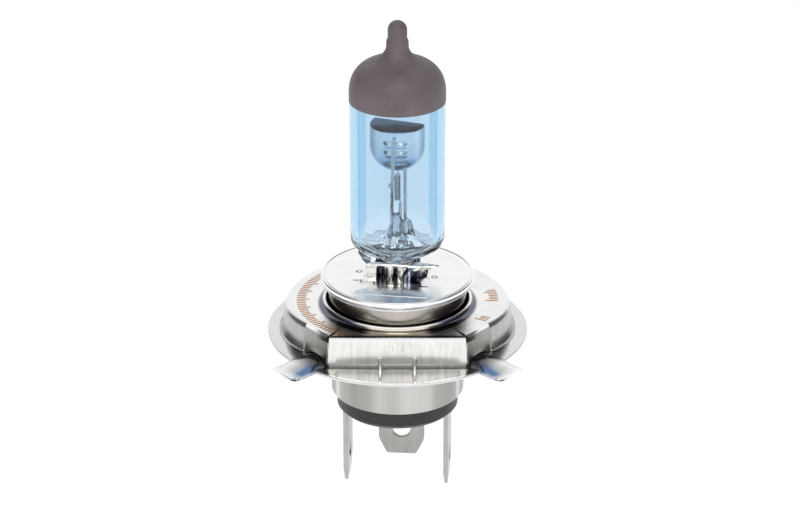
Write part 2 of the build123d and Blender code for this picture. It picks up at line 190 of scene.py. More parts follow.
def wire(name, points, radius, smooth=True, sides=6):
    """Round wire along given points."""
    curve = bpy.data.curves.new(name, "CURVE")
    curve.dimensions = "3D"
    curve.bevel_depth = radius * MM
    curve.bevel_resolution = sides
    curve.use_fill_caps = True
    curve.resolution_u = 10
    spline = curve.splines.new("NURBS" if smooth else "POLY")
    spline.points.add(len(points) - 1)
    for p, target in zip(points, spline.points):
        target.co = (p[0] * MM, p[1] * MM, p[2] * MM, 1.0)
    if smooth:
        spline.order_u = 3
        spline.use_endpoint_u = True
    temp = bpy.data.objects.new(name + "_path", curve)
    bpy.context.scene.collection.objects.link(temp)
    bpy.context.view_layer.update()
    graph = bpy.context.evaluated_depsgraph_get()
    mesh = bpy.data.meshes.new_from_object(temp.evaluated_get(graph))
    bpy.data.objects.remove(temp)
    mesh.name = name
    return add_object(name, mesh)


def join(name, parts):
    """One object from several, keeping each as its own closed shell."""
    bm = bmesh.new()
    for part in parts:
        bm.from_mesh(part.data)
    mesh = bpy.data.meshes.new(name)
    bmesh.ops.recalc_face_normals(bm, faces=bm.faces)
    bm.to_mesh(mesh)
    bm.free()
    for part in parts:
        bpy.data.objects.remove(part)
    return add_object(name, mesh)


def prism(name, outline, low, high, axis="Z"):
    """Straight prism over a closed outline of plane points, between two heights."""
    def place(u, v, w):
        return {"Z": (u, v, w), "Y": (u, w, v), "X": (w, u, v)}[axis]
    rows = [[place(u, v, w) for u, v in outline] for w in (low, high)]
    return build_mesh(name, *loft_rows(rows))


def bevel(obj, width, segments=3, angle=40.0):
    """Rounds the edges that are sharper than the angle."""
    mod = obj.modifiers.new("bevel", "BEVEL")
    mod.width = width * MM
    mod.segments = segments
    mod.limit_method = "ANGLE"
    mod.angle_limit = math.radians(angle)
    return apply_modifiers(obj)


def cut(obj, tools, operation="DIFFERENCE"):
    """Takes the tools away from a piece, or adds them to it, and removes them."""
    for tool in tools:
        mod = obj.modifiers.new("cut", "BOOLEAN")
        mod.operation = operation
        mod.solver = "EXACT"
        mod.object = tool
        apply_modifiers(obj)
    for tool in tools:
        bpy.data.objects.remove(tool)
    return obj


def turn(obj, angle=BASE_TURN):
    """Turns a mesh about the bulb's axis, by default with the base and burner."""
    obj.data.transform(Matrix.Rotation(angle, 4, "Z"))
    return obj


def place(obj, slot, mat, node=None):
    """Gives a piece its material, rides it on the bulb and hides the CAD node it stands for; the slot is not
    used.
    """
    obj.data.materials.clear()
    obj.data.materials.append(mat)
    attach(obj, "root")
    if node:
        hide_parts(node)
    return obj


# ---------------------------------------------------------------- materials

def new_material(name, **values):
    """Principled material with constant values on its own sockets."""
    mat = bpy.data.materials.new(name)
    mat.use_nodes = True
    shader = mat.node_tree.nodes["Principled BSDF"]
    for key, value in values.items():
        shader.inputs[key.replace("_", " ")].default_value = value
    return mat, mat.node_tree, shader


def object_noise(tree, scale, stretch=(1, 1, 1), detail=4.0):
    """Noise in the frame's own space; scale is in cells per millimetre."""
    coords = tree.nodes.new("ShaderNodeTexCoord")
    mapping = tree.nodes.new("ShaderNodeMapping")
    mapping.inputs["Scale"].default_value = [s * scale / MM for s in stretch]
    texture = tree.nodes.new("ShaderNodeTexNoise")
    texture.inputs["Scale"].default_value = 1.0
    texture.inputs["Detail"].default_value = detail
    tree.links.new(coords.outputs["Object"], mapping.inputs["Vector"])
    tree.links.new(mapping.outputs["Vector"], texture.inputs["Vector"])
    return texture.outputs["Fac"]


def ramp(tree, source, stops):
    """Colour ramp over a 0 to 1 value; stops are (position, colour or grey)."""
    node = tree.nodes.new("ShaderNodeValToRGB")
    elements = node.color_ramp.elements
    while len(elements) > 1:
        elements.remove(elements[-1])
    for i, (position, colour) in enumerate(stops):
        element = elements[0] if i == 0 else elements.new(position)
        element.position = position
        if isinstance(colour, (int, float)):
            colour = (colour, colour, colour)
        element.color = (*colour, 1.0)
    tree.links.new(source, node.inputs["Fac"])
    return node.outputs["Color"]


def paint(tree, shader, colour, rough):
    """Links a colour and a roughness to the shader."""
    tree.links.new(colour, shader.inputs["Base Color"])
    tree.links.new(rough, shader.inputs["Roughness"])


def bump(tree, shader, source, strength, distance):
    """Surface relief from a 0 to 1 value, with its depth in millimetres."""
    node = tree.nodes.new("ShaderNodeBump")
    node.inputs["Strength"].default_value = strength
    node.inputs["Distance"].default_value = distance * MM
    tree.links.new(source, node.inputs["Height"])
    tree.links.new(node.outputs["Normal"], shader.inputs["Normal"])


def metal(name, dark, light, rough, scale, stretch=(1, 1, 1), grain=0.0):
    """Metal whose colour and roughness vary a little over the surface, with optional grain."""
    mat, tree, shader = new_material(name, Metallic=1.0)
    tone = object_noise(tree, scale, stretch)
    tree.links.new(ramp(tree, tone, [(0.35, dark), (0.65, light)]), shader.inputs["Base Color"])
    worn = object_noise(tree, 6.0, stretch, 3.0)
    tree.links.new(ramp(tree, worn, [(0.3, rough[0]), (0.7, rough[1])]), shader.inputs["Roughness"])
    if grain:
        bump(tree, shader, worn, grain, 0.02)
    return mat


def span_factor(tree, source, low, high):
    """0 to 1 while a length runs between two values in millimetres."""
    span = tree.nodes.new("ShaderNodeMapRange")
    span.inputs["From Min"].default_value = low * MM
    span.inputs["From Max"].default_value = high * MM
    tree.links.new(source, span.inputs["Value"])
    return span.outputs["Result"]


def axis_factor(tree, axis, low, high):
    """0 to 1 between two positions in mm along one axis of the object."""
    coords = tree.nodes.new("ShaderNodeTexCoord")
    split = tree.nodes.new("ShaderNodeSeparateXYZ")
    tree.links.new(coords.outputs["Object"], split.inputs["Vector"])
    return span_factor(tree, split.outputs[axis], low, high)


def radius_factor(tree, low, high, forward=0.0):
    """0 to 1 between two distances in mm from a line that stands ahead of the bulb's axis."""
    coords = tree.nodes.new("ShaderNodeTexCoord")
    flat = tree.nodes.new("ShaderNodeVectorMath")
    flat.operation = "MULTIPLY_ADD"
    flat.inputs[1].default_value = (1, 1, 0)
    flat.inputs[2].default_value = (0, forward * MM, 0)
    length = tree.nodes.new("ShaderNodeVectorMath")
    length.operation = "LENGTH"
    tree.links.new(coords.outputs["Object"], flat.inputs[0])
    tree.links.new(flat.outputs["Vector"], length.inputs[0])
    return span_factor(tree, length.outputs["Value"], low, high)


def times(tree, first, *others):
    """Product of colours or masks."""
    for other in others:
        first = blend(tree, None, first, other, "MULTIPLY")
    return first


def blend(tree, factor, first, second, mode="MIX"):
    """Mix of two colours by a factor, or at full strength where the factor is None."""
    mix = tree.nodes.new("ShaderNodeMix")
    mix.data_type = "RGBA"
    mix.blend_type = mode
    if factor is None:
        mix.inputs["Factor"].default_value = 1.0
    else:
        tree.links.new(factor, mix.inputs["Factor"])
    tree.links.new(first, mix.inputs["A"])
    tree.links.new(second, mix.inputs["B"])
    return mix.outputs["Result"]


def quartz_material():
    """Clear glass with a light blue film on the tube that fades out above the pinch."""
    mat, tree, shader = new_material("quartz_glass", Roughness=0.0, IOR=1.46)
    shader.inputs["Transmission Weight"].default_value = 1.0
    fade = axis_factor(tree, "Z", 14.0, 20.0)
    middle = ramp(tree, fade, [
        (0.0, (0.90, 0.93, 0.96)), (0.5, (0.76, 0.87, 0.96)), (1.0, (0.655, 0.79, 0.89)),
    ])
    edge = ramp(tree, fade, [(0.0, (0.62, 0.70, 0.78)), (0.5, (0.32, 0.55, 0.77)), (1.0, (0.23, 0.51, 0.76))])
    facing = tree.nodes.new("ShaderNodeLayerWeight")
    facing.inputs["Blend"].default_value = 0.5
    walls = ramp(tree, facing.outputs["Facing"], [(0.40, 0.0), (0.46, 1.0)])
    tree.links.new(blend(tree, walls, middle, edge), shader.inputs["Base Color"])
    return mat


def ring_material():
    """Pressed ring: polished round the collar, satin on top, with painted light on the top and the front plate,
    painted shade on the darker brushed walls and in the groove, and a painted reflection at the collar's foot.
    """
    mat, tree, shader = new_material("ring_steel", Metallic=1.0)
    tone = object_noise(tree, 0.35)
    # Painted light: the top is far lighter than the walls of the same steel.
    top = ramp(tree, tone, [(0.3, (0.84, 0.84, 0.845)), (0.7, 0.90)])
    brushed = object_noise(tree, 1.6, (1, 1, 0.05), 6.0)
    streaks = ramp(tree, brushed, [(0.3, 0.84), (0.7, 1.0)])
    # Painted shade on the walls: darkest on the side flats beside the plate (y -15), lighter to the round wall
    # (y -10).
    walls = ramp(tree, axis_factor(tree, "Y", -16.0, -8.0), [
        (0.0, (0.20, 0.20, 0.19)), (0.16, (0.17, 0.17, 0.16)), (0.35, (0.26, 0.27, 0.25)),
        (0.72, (0.38, 0.39, 0.365)),
        (0.80, (0.40, 0.405, 0.39)), (0.84, 0.46), (1.0, 0.48),
    ])
    # Painted light: the front plate is lighter than the walls beside it.
    plate = ramp(tree, tone, [(0.3, (0.88, 0.865, 0.845)), (0.7, (0.92, 0.905, 0.885))])
    middle = ramp(tree, axis_factor(tree, "X", -16.0, 16.0), [
        (0.148, 0.0), (0.156, 1.0), (0.844, 1.0), (0.852, 0.0),
    ])
    ahead = ramp(tree, axis_factor(tree, "Y", -14.7, -14.6), [(0.0, 1.0), (1.0, 0.0)])
    wall = blend(tree, times(tree, middle, ahead), walls, plate)
    side = times(tree, wall, streaks)
    # Painted shadow in the groove behind the plate's bend.
    groove_shadow = ramp(tree, axis_factor(tree, "Y", -14.7, -13.5), [
        (0.0, 1), (0.06, 1), (0.10, 0.05), (0.80, 0.07), (0.88, 1),
    ])
    # Painted reflection at the foot of the collar: painted shade at both sides, beige in the middle.
    inner = ramp(tree, radius_factor(tree, 12.0, 13.0), [(0.15, 0.0), (0.35, 1.0)])
    outer = ramp(tree, radius_factor(tree, 12.5, 13.5, 1.2), [(0.25, 1.0), (0.75, 0.0)])
    collar_reflection_band = times(tree, inner, outer)
    across = axis_factor(tree, "X", -16.0, 16.0)
    foot = ramp(tree, across, [
        (0.0, (0.20, 0.21, 0.24)), (0.22, (0.10, 0.11, 0.13)), (0.33, (0.14, 0.12, 0.10)),
        (0.37, (0.70, 0.66, 0.58)),
        (0.63, (0.70, 0.66, 0.58)), (0.67, (0.14, 0.12, 0.10)), (0.78, (0.10, 0.11, 0.13)),
        (1.0, (0.20, 0.21, 0.24)),
    ])
    top = times(tree, blend(tree, collar_reflection_band, top, foot), groove_shadow)
    tree.links.new(blend(tree, axis_factor(tree, "Z", 4.25, 4.5), side, top), shader.inputs["Base Color"])
    rough = ramp(tree, radius_factor(tree, 12.0, 18.0), [(0.0, 0.06), (0.2, 0.10), (0.32, 0.24), (1.0, 0.28)])
    tree.links.new(rough, shader.inputs["Roughness"])
    bump(tree, shader, brushed, 0.12, 0.02)
    return mat


def flange_material():
    """Satin plate with painted light and shade: a darker brushed strip of painted shade below the front plate,
    painted shade at the lug roots, a painted blue sheen on the lugs and painted light at their ends.
    """
    mat, tree, shader = new_material("flange_steel", Metallic=1.0)
    tone = object_noise(tree, 0.35)
    plain = ramp(tree, tone, [(0.3, 0.68), (0.7, (0.75, 0.75, 0.745))])
    # Lighter copy of the plate colour, used as painted light at the lug ends.
    light = ramp(tree, tone, [(0.3, 0.84), (0.7, (0.90, 0.90, 0.895))])
    streaks = object_noise(tree, 1.2, (1, 0.05, 1), 5.0)
    # Painted shade: darker brushed strip in front of the front plate.
    strip = ramp(tree, streaks, [(0.3, (0.26, 0.26, 0.255)), (0.7, (0.34, 0.335, 0.325))])
    middle = ramp(tree, axis_factor(tree, "X", -16.0, 16.0), [
        (0.09, 0.0), (0.13, 1.0), (0.87, 1.0), (0.91, 0.0),
    ])
    front = ramp(tree, axis_factor(tree, "Y", -21.2, -14.0), [(0.0, 0.0), (0.02, 1.0), (1.0, 1.0)])
    ahead = ramp(tree, axis_factor(tree, "Y", -14.5, -13.5), [(0.0, 1.0), (1.0, 0.0)])
    where = times(tree, middle, front, ahead)
    ribs = ramp(tree, axis_factor(tree, "Z", 0.03, 0.12), [(0.0, 1.0), (1.0, 0.0)])
    rim = ramp(tree, radius_factor(tree, 21.0, 21.3), [(0.0, 1.0), (1.0, 0.0)])
    where = times(tree, where, ribs, rim)
    base = blend(tree, where, plain, strip)
    # Distances across and along the two front lugs.
    coords = tree.nodes.new("ShaderNodeTexCoord")
    folded = tree.nodes.new("ShaderNodeVectorMath")
    folded.operation = "ABSOLUTE"
    tree.links.new(coords.outputs["Object"], folded.inputs[0])
    factors = []
    for direction, low, high in (((-0.70, 0.713, 0), -3.0, 3.0), ((0.713, 0.70, 0), 18.0, 26.0)):
        dot = tree.nodes.new("ShaderNodeVectorMath")
        dot.operation = "DOT_PRODUCT"
        dot.inputs[1].default_value = direction
        tree.links.new(folded.outputs["Vector"], dot.inputs[0])
        factors.append(span_factor(tree, dot.outputs["Value"], low, high))
    # Painted blue sheen across the lugs.
    sheen = ramp(tree, factors[0], [
        (0.0, 0.72), (0.30, (0.84, 0.83, 0.82)), (0.5, (0.62, 0.61, 0.61)), (0.66, (0.38, 0.42, 0.48)),
        (0.76, (0.12, 0.21, 0.38)), (0.88, (0.10, 0.20, 0.36)), (0.95, (0.25, 0.32, 0.42)), (1.0, 0.7),
    ])
    # Painted shade at the lug roots, under the ring's arches.
    root = ramp(tree, factors[0], [
        (0.0, (0.5, 0.49, 0.47)), (0.3, (0.13, 0.12, 0.11)), (0.7, (0.10, 0.09, 0.09)),
        (1.0, (0.25, 0.25, 0.27)),
    ])
    along = ramp(tree, factors[1], [(0.25, 0.0), (0.55, 1.0)])
    lug = blend(tree, along, root, sheen)
    # Painted light towards the lug ends.
    end = ramp(tree, factors[1], [(0.72, 0.0), (0.93, 1.0)])
    lug = blend(tree, end, lug, light)
    inside = ramp(tree, factors[0], [(0.0, 0.0), (0.035, 1.0), (0.965, 1.0), (1.0, 0.0)])
    forward = ramp(tree, axis_factor(tree, "Y", -12.5, -11.0), [(0.0, 1.0), (1.0, 0.0)])
    paint(
        tree, shader, blend(tree, times(tree, inside, forward), base, lug),
        ramp(tree, tone, [(0.3, 0.13), (0.7, 0.22)]),
    )
    return mat


def sleeve_material():
    """Polished sleeve with painted reflections, brown-black at both sides and beige in the middle, and painted
    shade along its foot.
    """
    mat, tree, shader = new_material("nickel_steel", Metallic=1.0)
    # Painted reflections from side to side.
    bands = ramp(tree, axis_factor(tree, "X", -SLEEVE_R, SLEEVE_R), [
        (0.0, (0.30, 0.28, 0.27)), (0.06, (0.10, 0.09, 0.085)), (0.18, (0.13, 0.11, 0.10)),
        (0.25, (0.22, 0.20, 0.18)),
        (0.29, (0.40, 0.37, 0.33)), (0.5, (0.50, 0.47, 0.42)), (0.71, (0.43, 0.40, 0.36)),
        (0.76, (0.24, 0.22, 0.20)),
        (0.84, (0.13, 0.11, 0.10)), (0.94, (0.10, 0.09, 0.085)), (1.0, (0.34, 0.32, 0.30)),
    ])
    # Painted shade towards the foot, where the sleeve meets the ring's collar.
    foot = ramp(tree, axis_factor(tree, "Z", 5.0, 7.0), [
        (0.0, (0.55, 0.53, 0.50)), (0.4, (0.70, 0.67, 0.63)), (0.65, 1),
    ])
    grain = object_noise(tree, 0.5, (1, 1, 0.15))
    paint(tree, shader, times(tree, bands, foot), ramp(tree, grain, [(0.3, 0.14), (0.7, 0.22)]))
    bump(tree, shader, grain, 0.06, 0.02)
    return mat


def shell_material():
    """Brushed cup with painted reflections: light and dark bands from side to side, and a bright painted
    highlight near each edge.
    """
    mat, tree, shader = new_material("brushed_steel", Metallic=1.0)
    # Painted reflection bands across the cup.
    bands = ramp(tree, axis_factor(tree, "X", -SHELL_R, SHELL_R), [
        (0.0, (0.36, 0.37, 0.40)), (0.03, (0.48, 0.49, 0.51)), (0.05, (0.95, 0.95, 0.94)),
        (0.075, (0.60, 0.59, 0.57)),
        (0.17, (0.47, 0.465, 0.445)), (0.27, (0.52, 0.51, 0.49)), (0.36, (0.74, 0.73, 0.70)),
        (0.48, (0.66, 0.65, 0.62)),
        (0.56, (0.84, 0.825, 0.80)), (0.74, (0.76, 0.75, 0.72)), (0.79, (0.55, 0.54, 0.52)),
        (0.9, (0.47, 0.465, 0.45)),
        (0.935, (0.55, 0.55, 0.54)), (0.95, (0.95, 0.95, 0.94)), (0.97, (0.48, 0.49, 0.52)),
        (1.0, (0.36, 0.37, 0.42)),
    ])
    brushed = object_noise(tree, 0.9, (1, 1, 0.05), 6.0)
    streaks = ramp(tree, brushed, [(0.3, 0.66), (0.7, 0.78)])
    paint(tree, shader, times(tree, bands, streaks), ramp(tree, brushed, [(0.3, 0.24), (0.7, 0.36)]))
    bump(tree, shader, brushed, 0.25, 0.02)
    return mat


def clip_material():
    """Polished spring steel with painted shade in the hollows of the fingers and the gusset, and small painted
    reflections beside them.
    """
    mat, tree, shader = new_material("clip_steel", Metallic=1.0)
    across = axis_factor(tree, "X", -5.0, 5.0)
    # Painted shade and small painted reflections across the front wall.
    hollows = ramp(tree, across, [
        (0.0, LIGHT), (0.145, LIGHT), (0.165, PAINTED_SHADE), (0.20, PAINTED_DEEP_SHADE), (0.225, (0.30, 0.32, 0.36)), (0.25, PAINTED_DEEP_SHADE),
        (0.30, 0.22), (0.33, PAINTED_DEEP_SHADE), (0.355, (0.6, 0.58, 0.52)), (0.38, LIGHT), (0.42, LIGHT),
        (0.44, PAINTED_SHADE), (0.475, PAINTED_DEEP_SHADE), (0.51, (0.35, 0.33, 0.28)), (0.53, LIGHT), (0.58, LIGHT),
        (0.595, (0.05, 0.03, 0.03)),
        (0.615, LIGHT), (0.64, (0.55, 0.56, 0.6)), (0.66, (0.03, 0.05, 0.32)), (0.69, LIGHT),
        (0.71, (0.1, 0.12, 0.3)),
        (0.73, PAINTED_SHADE), (0.80, PAINTED_DEEP_SHADE), (0.86, (0.09, 0.10, 0.14)), (0.9, 0.5), (1.0, LIGHT),
    ])
    lip = axis_factor(tree, "Z", 11.4, 11.75)
    plain = ramp(tree, object_noise(tree, 0.8, (1, 1, 0.4)), [
        (0.35, (0.55, 0.54, 0.52)), (0.6, (0.92, 0.91, 0.90)),
    ])
    tree.links.new(blend(tree, lip, hollows, plain), shader.inputs["Base Color"])
    grain = object_noise(tree, 2.5, (1, 1, 0.3))
    tree.links.new(ramp(tree, grain, [(0.3, 0.08), (0.7, 0.22)]), shader.inputs["Roughness"])
    return mat


def shield_material():
    """Light metal with painted light and shade: darker at the sides and below, a painted highlight right of
    centre, and a dark end wall of painted shade.
    """
    mat, tree, shader = new_material("shield_metal", Metallic=1.0)
    across = axis_factor(tree, "X", -4.6, 4.6)
    # Painted shade at the sides, painted highlight right of centre.
    body = ramp(tree, across, [
        (0.0, (0.22, 0.29, 0.38)), (0.08, (0.36, 0.44, 0.54)), (0.16, (0.74, 0.82, 0.88)),
        (0.3, (0.74, 0.83, 0.91)),
        (0.5, (0.84, 0.90, 0.95)), (0.72, (0.80, 0.87, 0.93)), (0.84, 1.0), (0.91, (0.52, 0.61, 0.70)),
        (1.0, (0.18, 0.25, 0.34)),
    ])
    # Painted shade towards the bottom.
    down = axis_factor(tree, "Z", 28.5, 36.2)
    shading = ramp(tree, down, [
        (0.0, (0.35, 0.42, 0.55)), (0.25, (0.62, 0.68, 0.76)), (0.55, (0.84, 0.87, 0.91)), (0.8, 1.0),
    ])
    tone = object_noise(tree, 0.6)
    # Painted shade on the end wall.
    end = ramp(tree, tone, [(0.3, (0.03, 0.07, 0.13)), (0.7, (0.06, 0.12, 0.20))])
    shaded = times(tree, body, shading)
    top = axis_factor(tree, "Z", SHIELD_TOP - 0.4, SHIELD_TOP - 0.2)
    paint(tree, shader, blend(tree, top, shaded, end), ramp(tree, tone, [(0.3, 0.1), (0.7, 0.2)]))
    return mat


def coating_material():
    mat, tree, shader = new_material("tip_coating", Metallic=0.0)
    shader.inputs["Specular IOR Level"].default_value = 0.35
    tone = object_noise(tree, 0.25, detail=5.0)
    tree.links.new(ramp(tree, tone, [
        (0.3, (0.128, 0.104, 0.112)), (0.7, (0.162, 0.135, 0.145)),
    ]), shader.inputs["Base Color"])
    grain = object_noise(tree, 9.0, detail=6.0)
    tree.links.new(ramp(tree, grain, [(0.3, 0.48), (0.7, 0.58)]), shader.inputs["Roughness"])
    bump(tree, shader, grain, 0.15, 0.02)
    return mat


def insulator_material():
    mat, tree, shader = new_material("black_insulator", Metallic=0.0)
    tone = object_noise(tree, 0.7)
    tree.links.new(ramp(tree, tone, [
        (0.3, (0.010, 0.011, 0.012)), (0.7, (0.020, 0.021, 0.023)),
    ]), shader.inputs["Base Color"])
    grain = object_noise(tree, 5.0, detail=6.0)
    tree.links.new(ramp(tree, grain, [(0.3, 0.38), (0.7, 0.52)]), shader.inputs["Roughness"])
    bump(tree, shader, grain, 0.25, 0.03)
    return mat


MATERIALS = {
    "quartz_glass": quartz_material(),
    "tip_coating": coating_material(),
    "molybdenum": metal("molybdenum", (0.42, 0.44, 0.47), (0.56, 0.58, 0.61), (0.12, 0.22), 0.6),
    "tungsten": metal("tungsten", (0.38, 0.42, 0.48), (0.50, 0.54, 0.60), (0.25, 0.4), 1.5),
    "lead_wire": metal("lead_wire", (0.48, 0.49, 0.51), (0.62, 0.63, 0.65), (0.2, 0.34), 1.2, (1, 1, 0.2)),
    "bright_steel": metal("bright_steel", (0.88, 0.88, 0.885), (0.93, 0.93, 0.93), (0.2, 0.27), 0.3),
    "nickel_steel": sleeve_material(),
    "brushed_steel": shell_material(),
    "blade_metal": metal(
        "blade_metal", (0.42, 0.41, 0.39), (0.50, 0.49, 0.465), (0.24, 0.36), 0.6, (1, 1, 0.3), 0.15),
    "black_insulator": insulator_material(),
    "clip_steel": clip_material(),
    "ring_steel": ring_material(),
    "shield_metal": shield_material(),
    "flange_steel": flange_material(),
    # Darker copy of the blade metal for the middle blade: painted shade.
    "middle_blade": metal(
        "middle_blade", (0.37, 0.365, 0.35), (0.42, 0.415, 0.395), (0.24, 0.36), 0.6, (1, 1, 0.3), 0.15),
}


# ---------------------------------------------------------------- glass envelope

def envelope_outline(grow=0.0):
    """(r, z) points of the tube, dome, exhaust root and tip, from the top down to the shoulder."""
    points = []
    end_z = TIP_TOP - TIP_R
    for k in range(13):
        a = math.pi / 2 * k / 12
        points.append(((TIP_R + grow) * math.sin(a), end_z + (TIP_R + grow) * math.cos(a)))
    points += [(TIP_R + grow, 50.55), (TIP_R + 0.06 + grow, 50.25), (1.70 + grow, 50.05), (1.73 + grow, 49.6)]
    for k in range(1, 13):
        t = k / 12
        r, z = curve_point((1.73, 49.2), (1.80, 47.35), (4.35, 46.42), t)
        points.append((r + grow, z + grow * t))
    for k in range(1, 21):
        t = k / 20
        r, z = curve_point((4.35, 46.42), (7.72, 45.15), (TUBE_R, DOME_Z), t)
        points.append((r + grow, z + grow * (1 - t)))
    return points


# Shoulder of the glass from the tube down to the pinch: height, half width, half thickness, squareness
SHOULDER = [
    (19.0, 7.72, 7.72, 2.0), (17.2, 7.71, 7.68, 2.0), (16.0, 7.62, 7.35, 2.0), (15.2, 7.3, 6.75, 2.0),
    (14.5, 6.6, 5.75, 1.95), (13.8, 5.55, 4.4, 1.85), (13.2, 4.5, 3.2, 1.75), (12.7, 3.75, 2.3, 1.65),
    (12.2, 3.5, 1.75, 1.8), (11.6, 3.7, 1.55, 3.0),
]


def smooth_rows(table, steps):
    """Catmull-Rom curve through the rows of a table."""
    out = []
    ends = [table[0]] + table + [table[-1]]
    for i in range(1, len(ends) - 2):
        for k in range(steps):
            t = k / steps
            row = []
            for a, b, c, d in zip(ends[i - 1], ends[i], ends[i + 1], ends[i + 2]):
                curved = (2 * a - 5 * b + 4 * c - d) * t * t
                row.append(0.5 * (2 * b + (c - a) * t + curved + (3 * b - a - 3 * c + d) * t ** 3))
            out.append(tuple(row))
    return out + [table[-1]]


def section(rx, ry, power, z, ripple=0.0):
    """One closed row of the glass skin: a circle at power 2, nearly a rectangle at power 6."""
    row = []
    for i in range(GLASS_COUNT):
        a = TAU * i / GLASS_COUNT
        c, s = math.cos(a), math.sin(a)
        x = rx * math.copysign(abs(c) ** (2 / power), c)
        y = ry * math.copysign(abs(s) ** (2 / power), s)
        f = 1.0
        if ripple:
            flutes = 0.6 * math.cos(15 * a + 0.7 * math.sin(3 * a))
            f += ripple * (flutes + noise.noise(Vector((4 * c, 4 * s, z * 0.5))))
        row.append((x * f, y * f, z))
    return row


def floor_height(x, y):
    """Height of the inner glass floor, with the lumpy mound that the leads come out of."""
    angle = math.atan2(y, x)
    radius = math.hypot(x, y)
    base = 15.3 + 0.05 * radius + 0.10 * math.cos(13 * angle + math.sin(4 * angle)) * min(radius / 3, 1.0)
    main = 4.6 * math.exp(-(((x + 0.35) / 1.15) ** 2 + ((y + 0.2) / 1.1) ** 2) ** 1.4)
    side = 3.2 * math.exp(-(((x - 1.7) / 1.0) ** 2 + ((y - 0.3) / 0.9) ** 2) ** 1.3)
    low = 1.9 * math.exp(-(((x - 1.4) / 2.3) ** 2 + ((y + 1.2) / 1.7) ** 2) ** 1.2)
    lumps = noise.noise(Vector((x * 1.5, y * 1.5, 3.0)))
    lumps += noise.noise(Vector((x * 2.9, y * 2.9, 7.0))) * 0.35
    near = math.exp(-(radius / 3.1) ** 4)
    return base + main + side + low + lumps * near


def make_glass():
    rows = [section(r, r, 2, z) for r, z in envelope_outline()]
    rows += [section(TUBE_R, TUBE_R, 2, z) for z in (36.0, 30.0, 24.0, 19.0)]
    for z, rx, ry, power in smooth_rows(SHOULDER, 6):
        low = min(max((17.0 - z) / 4.0, 0.0), 1.0)
        rows.append(section(rx, ry, power, z, 0.008 * math.sin(math.pi * low ** 0.7)))
    for z in (9.6, 8.0, 5.0, 2.0, PINCH_BOTTOM):
        rows.append(section(PINCH_HALF_W, PINCH_HALF_T, 6, z, 0.004))
    outer = build_mesh("outer", *loft_rows(rows))

    inner_r = TUBE_R - TUBE_WALL
    rows = []
    for r, z in [(0.05, 49.4), (0.35, 48.2), (0.75, 46.4), (1.2, 45.75), (2.2, 45.55), (3.2, 45.2)]:
        rows.append(section(r, r, 2, z))
    for k in range(1, 17):
        r, z = curve_point((3.2, 45.2), (inner_r, 44.3), (inner_r, DOME_Z), k / 16)
        rows.append(section(r, r, 2, z))
    rows += [section(inner_r, inner_r, 2, z) for z in (36.0, 30.0, 24.0, 19.0)]
    for k in range(13):
        a = math.pi / 2 * k / 12
        r = inner_r - FLOOR_BEND + FLOOR_BEND * math.cos(a)
        weight = (k / 12) ** 2
        row = []
        for x, y, z in section(r, r, 2, 17.3 - 1.8 * math.sin(a)):
            row.append((x, y, z + (floor_height(x, y) - 15.5) * weight))
        rows.append(row)
    floor_r = inner_r - FLOOR_BEND
    rings = 52
    for k in range(1, rings):
        r = floor_r * (1 - k / rings)
        rows.append([(x, y, floor_height(x, y)) for x, y, z in section(r, r, 2, 0)])
    inner = build_mesh("inner", *loft_rows(rows))
    bm = bmesh.new()
    bm.from_mesh(inner.data)
    bmesh.ops.reverse_faces(bm, faces=bm.faces)
    bm.from_mesh(outer.data)
    mesh = bpy.data.meshes.new("quartz_envelope")
    bm.to_mesh(mesh)
    bm.free()
    bpy.data.objects.remove(outer)
    bpy.data.objects.remove(inner)
    obj = add_object("quartz_envelope", mesh)
    obj.data.shade_smooth()
    return place(turn(obj), "quartz_glass", MATERIALS["quartz_glass"], "glass_envelope")


def make_coating():
    outside = envelope_outline(COATING_T) + [(TUBE_R + COATING_T, COATING_BOTTOM + 0.03)]
    outside[0] = (0.0, outside[0][1])
    inside = envelope_outline(0.004) + [(TUBE_R + 0.004, COATING_BOTTOM)]
    inside[0] = (0.0, inside[0][1])
    obj = lathe("tip_coating_skin", outside + inside[::-1], 192)
    return place(turn(shade(obj, 50)), "tip_coating", MATERIALS["tip_coating"], "tip_coating")


# ---------------------------------------------------------------- inside the tube

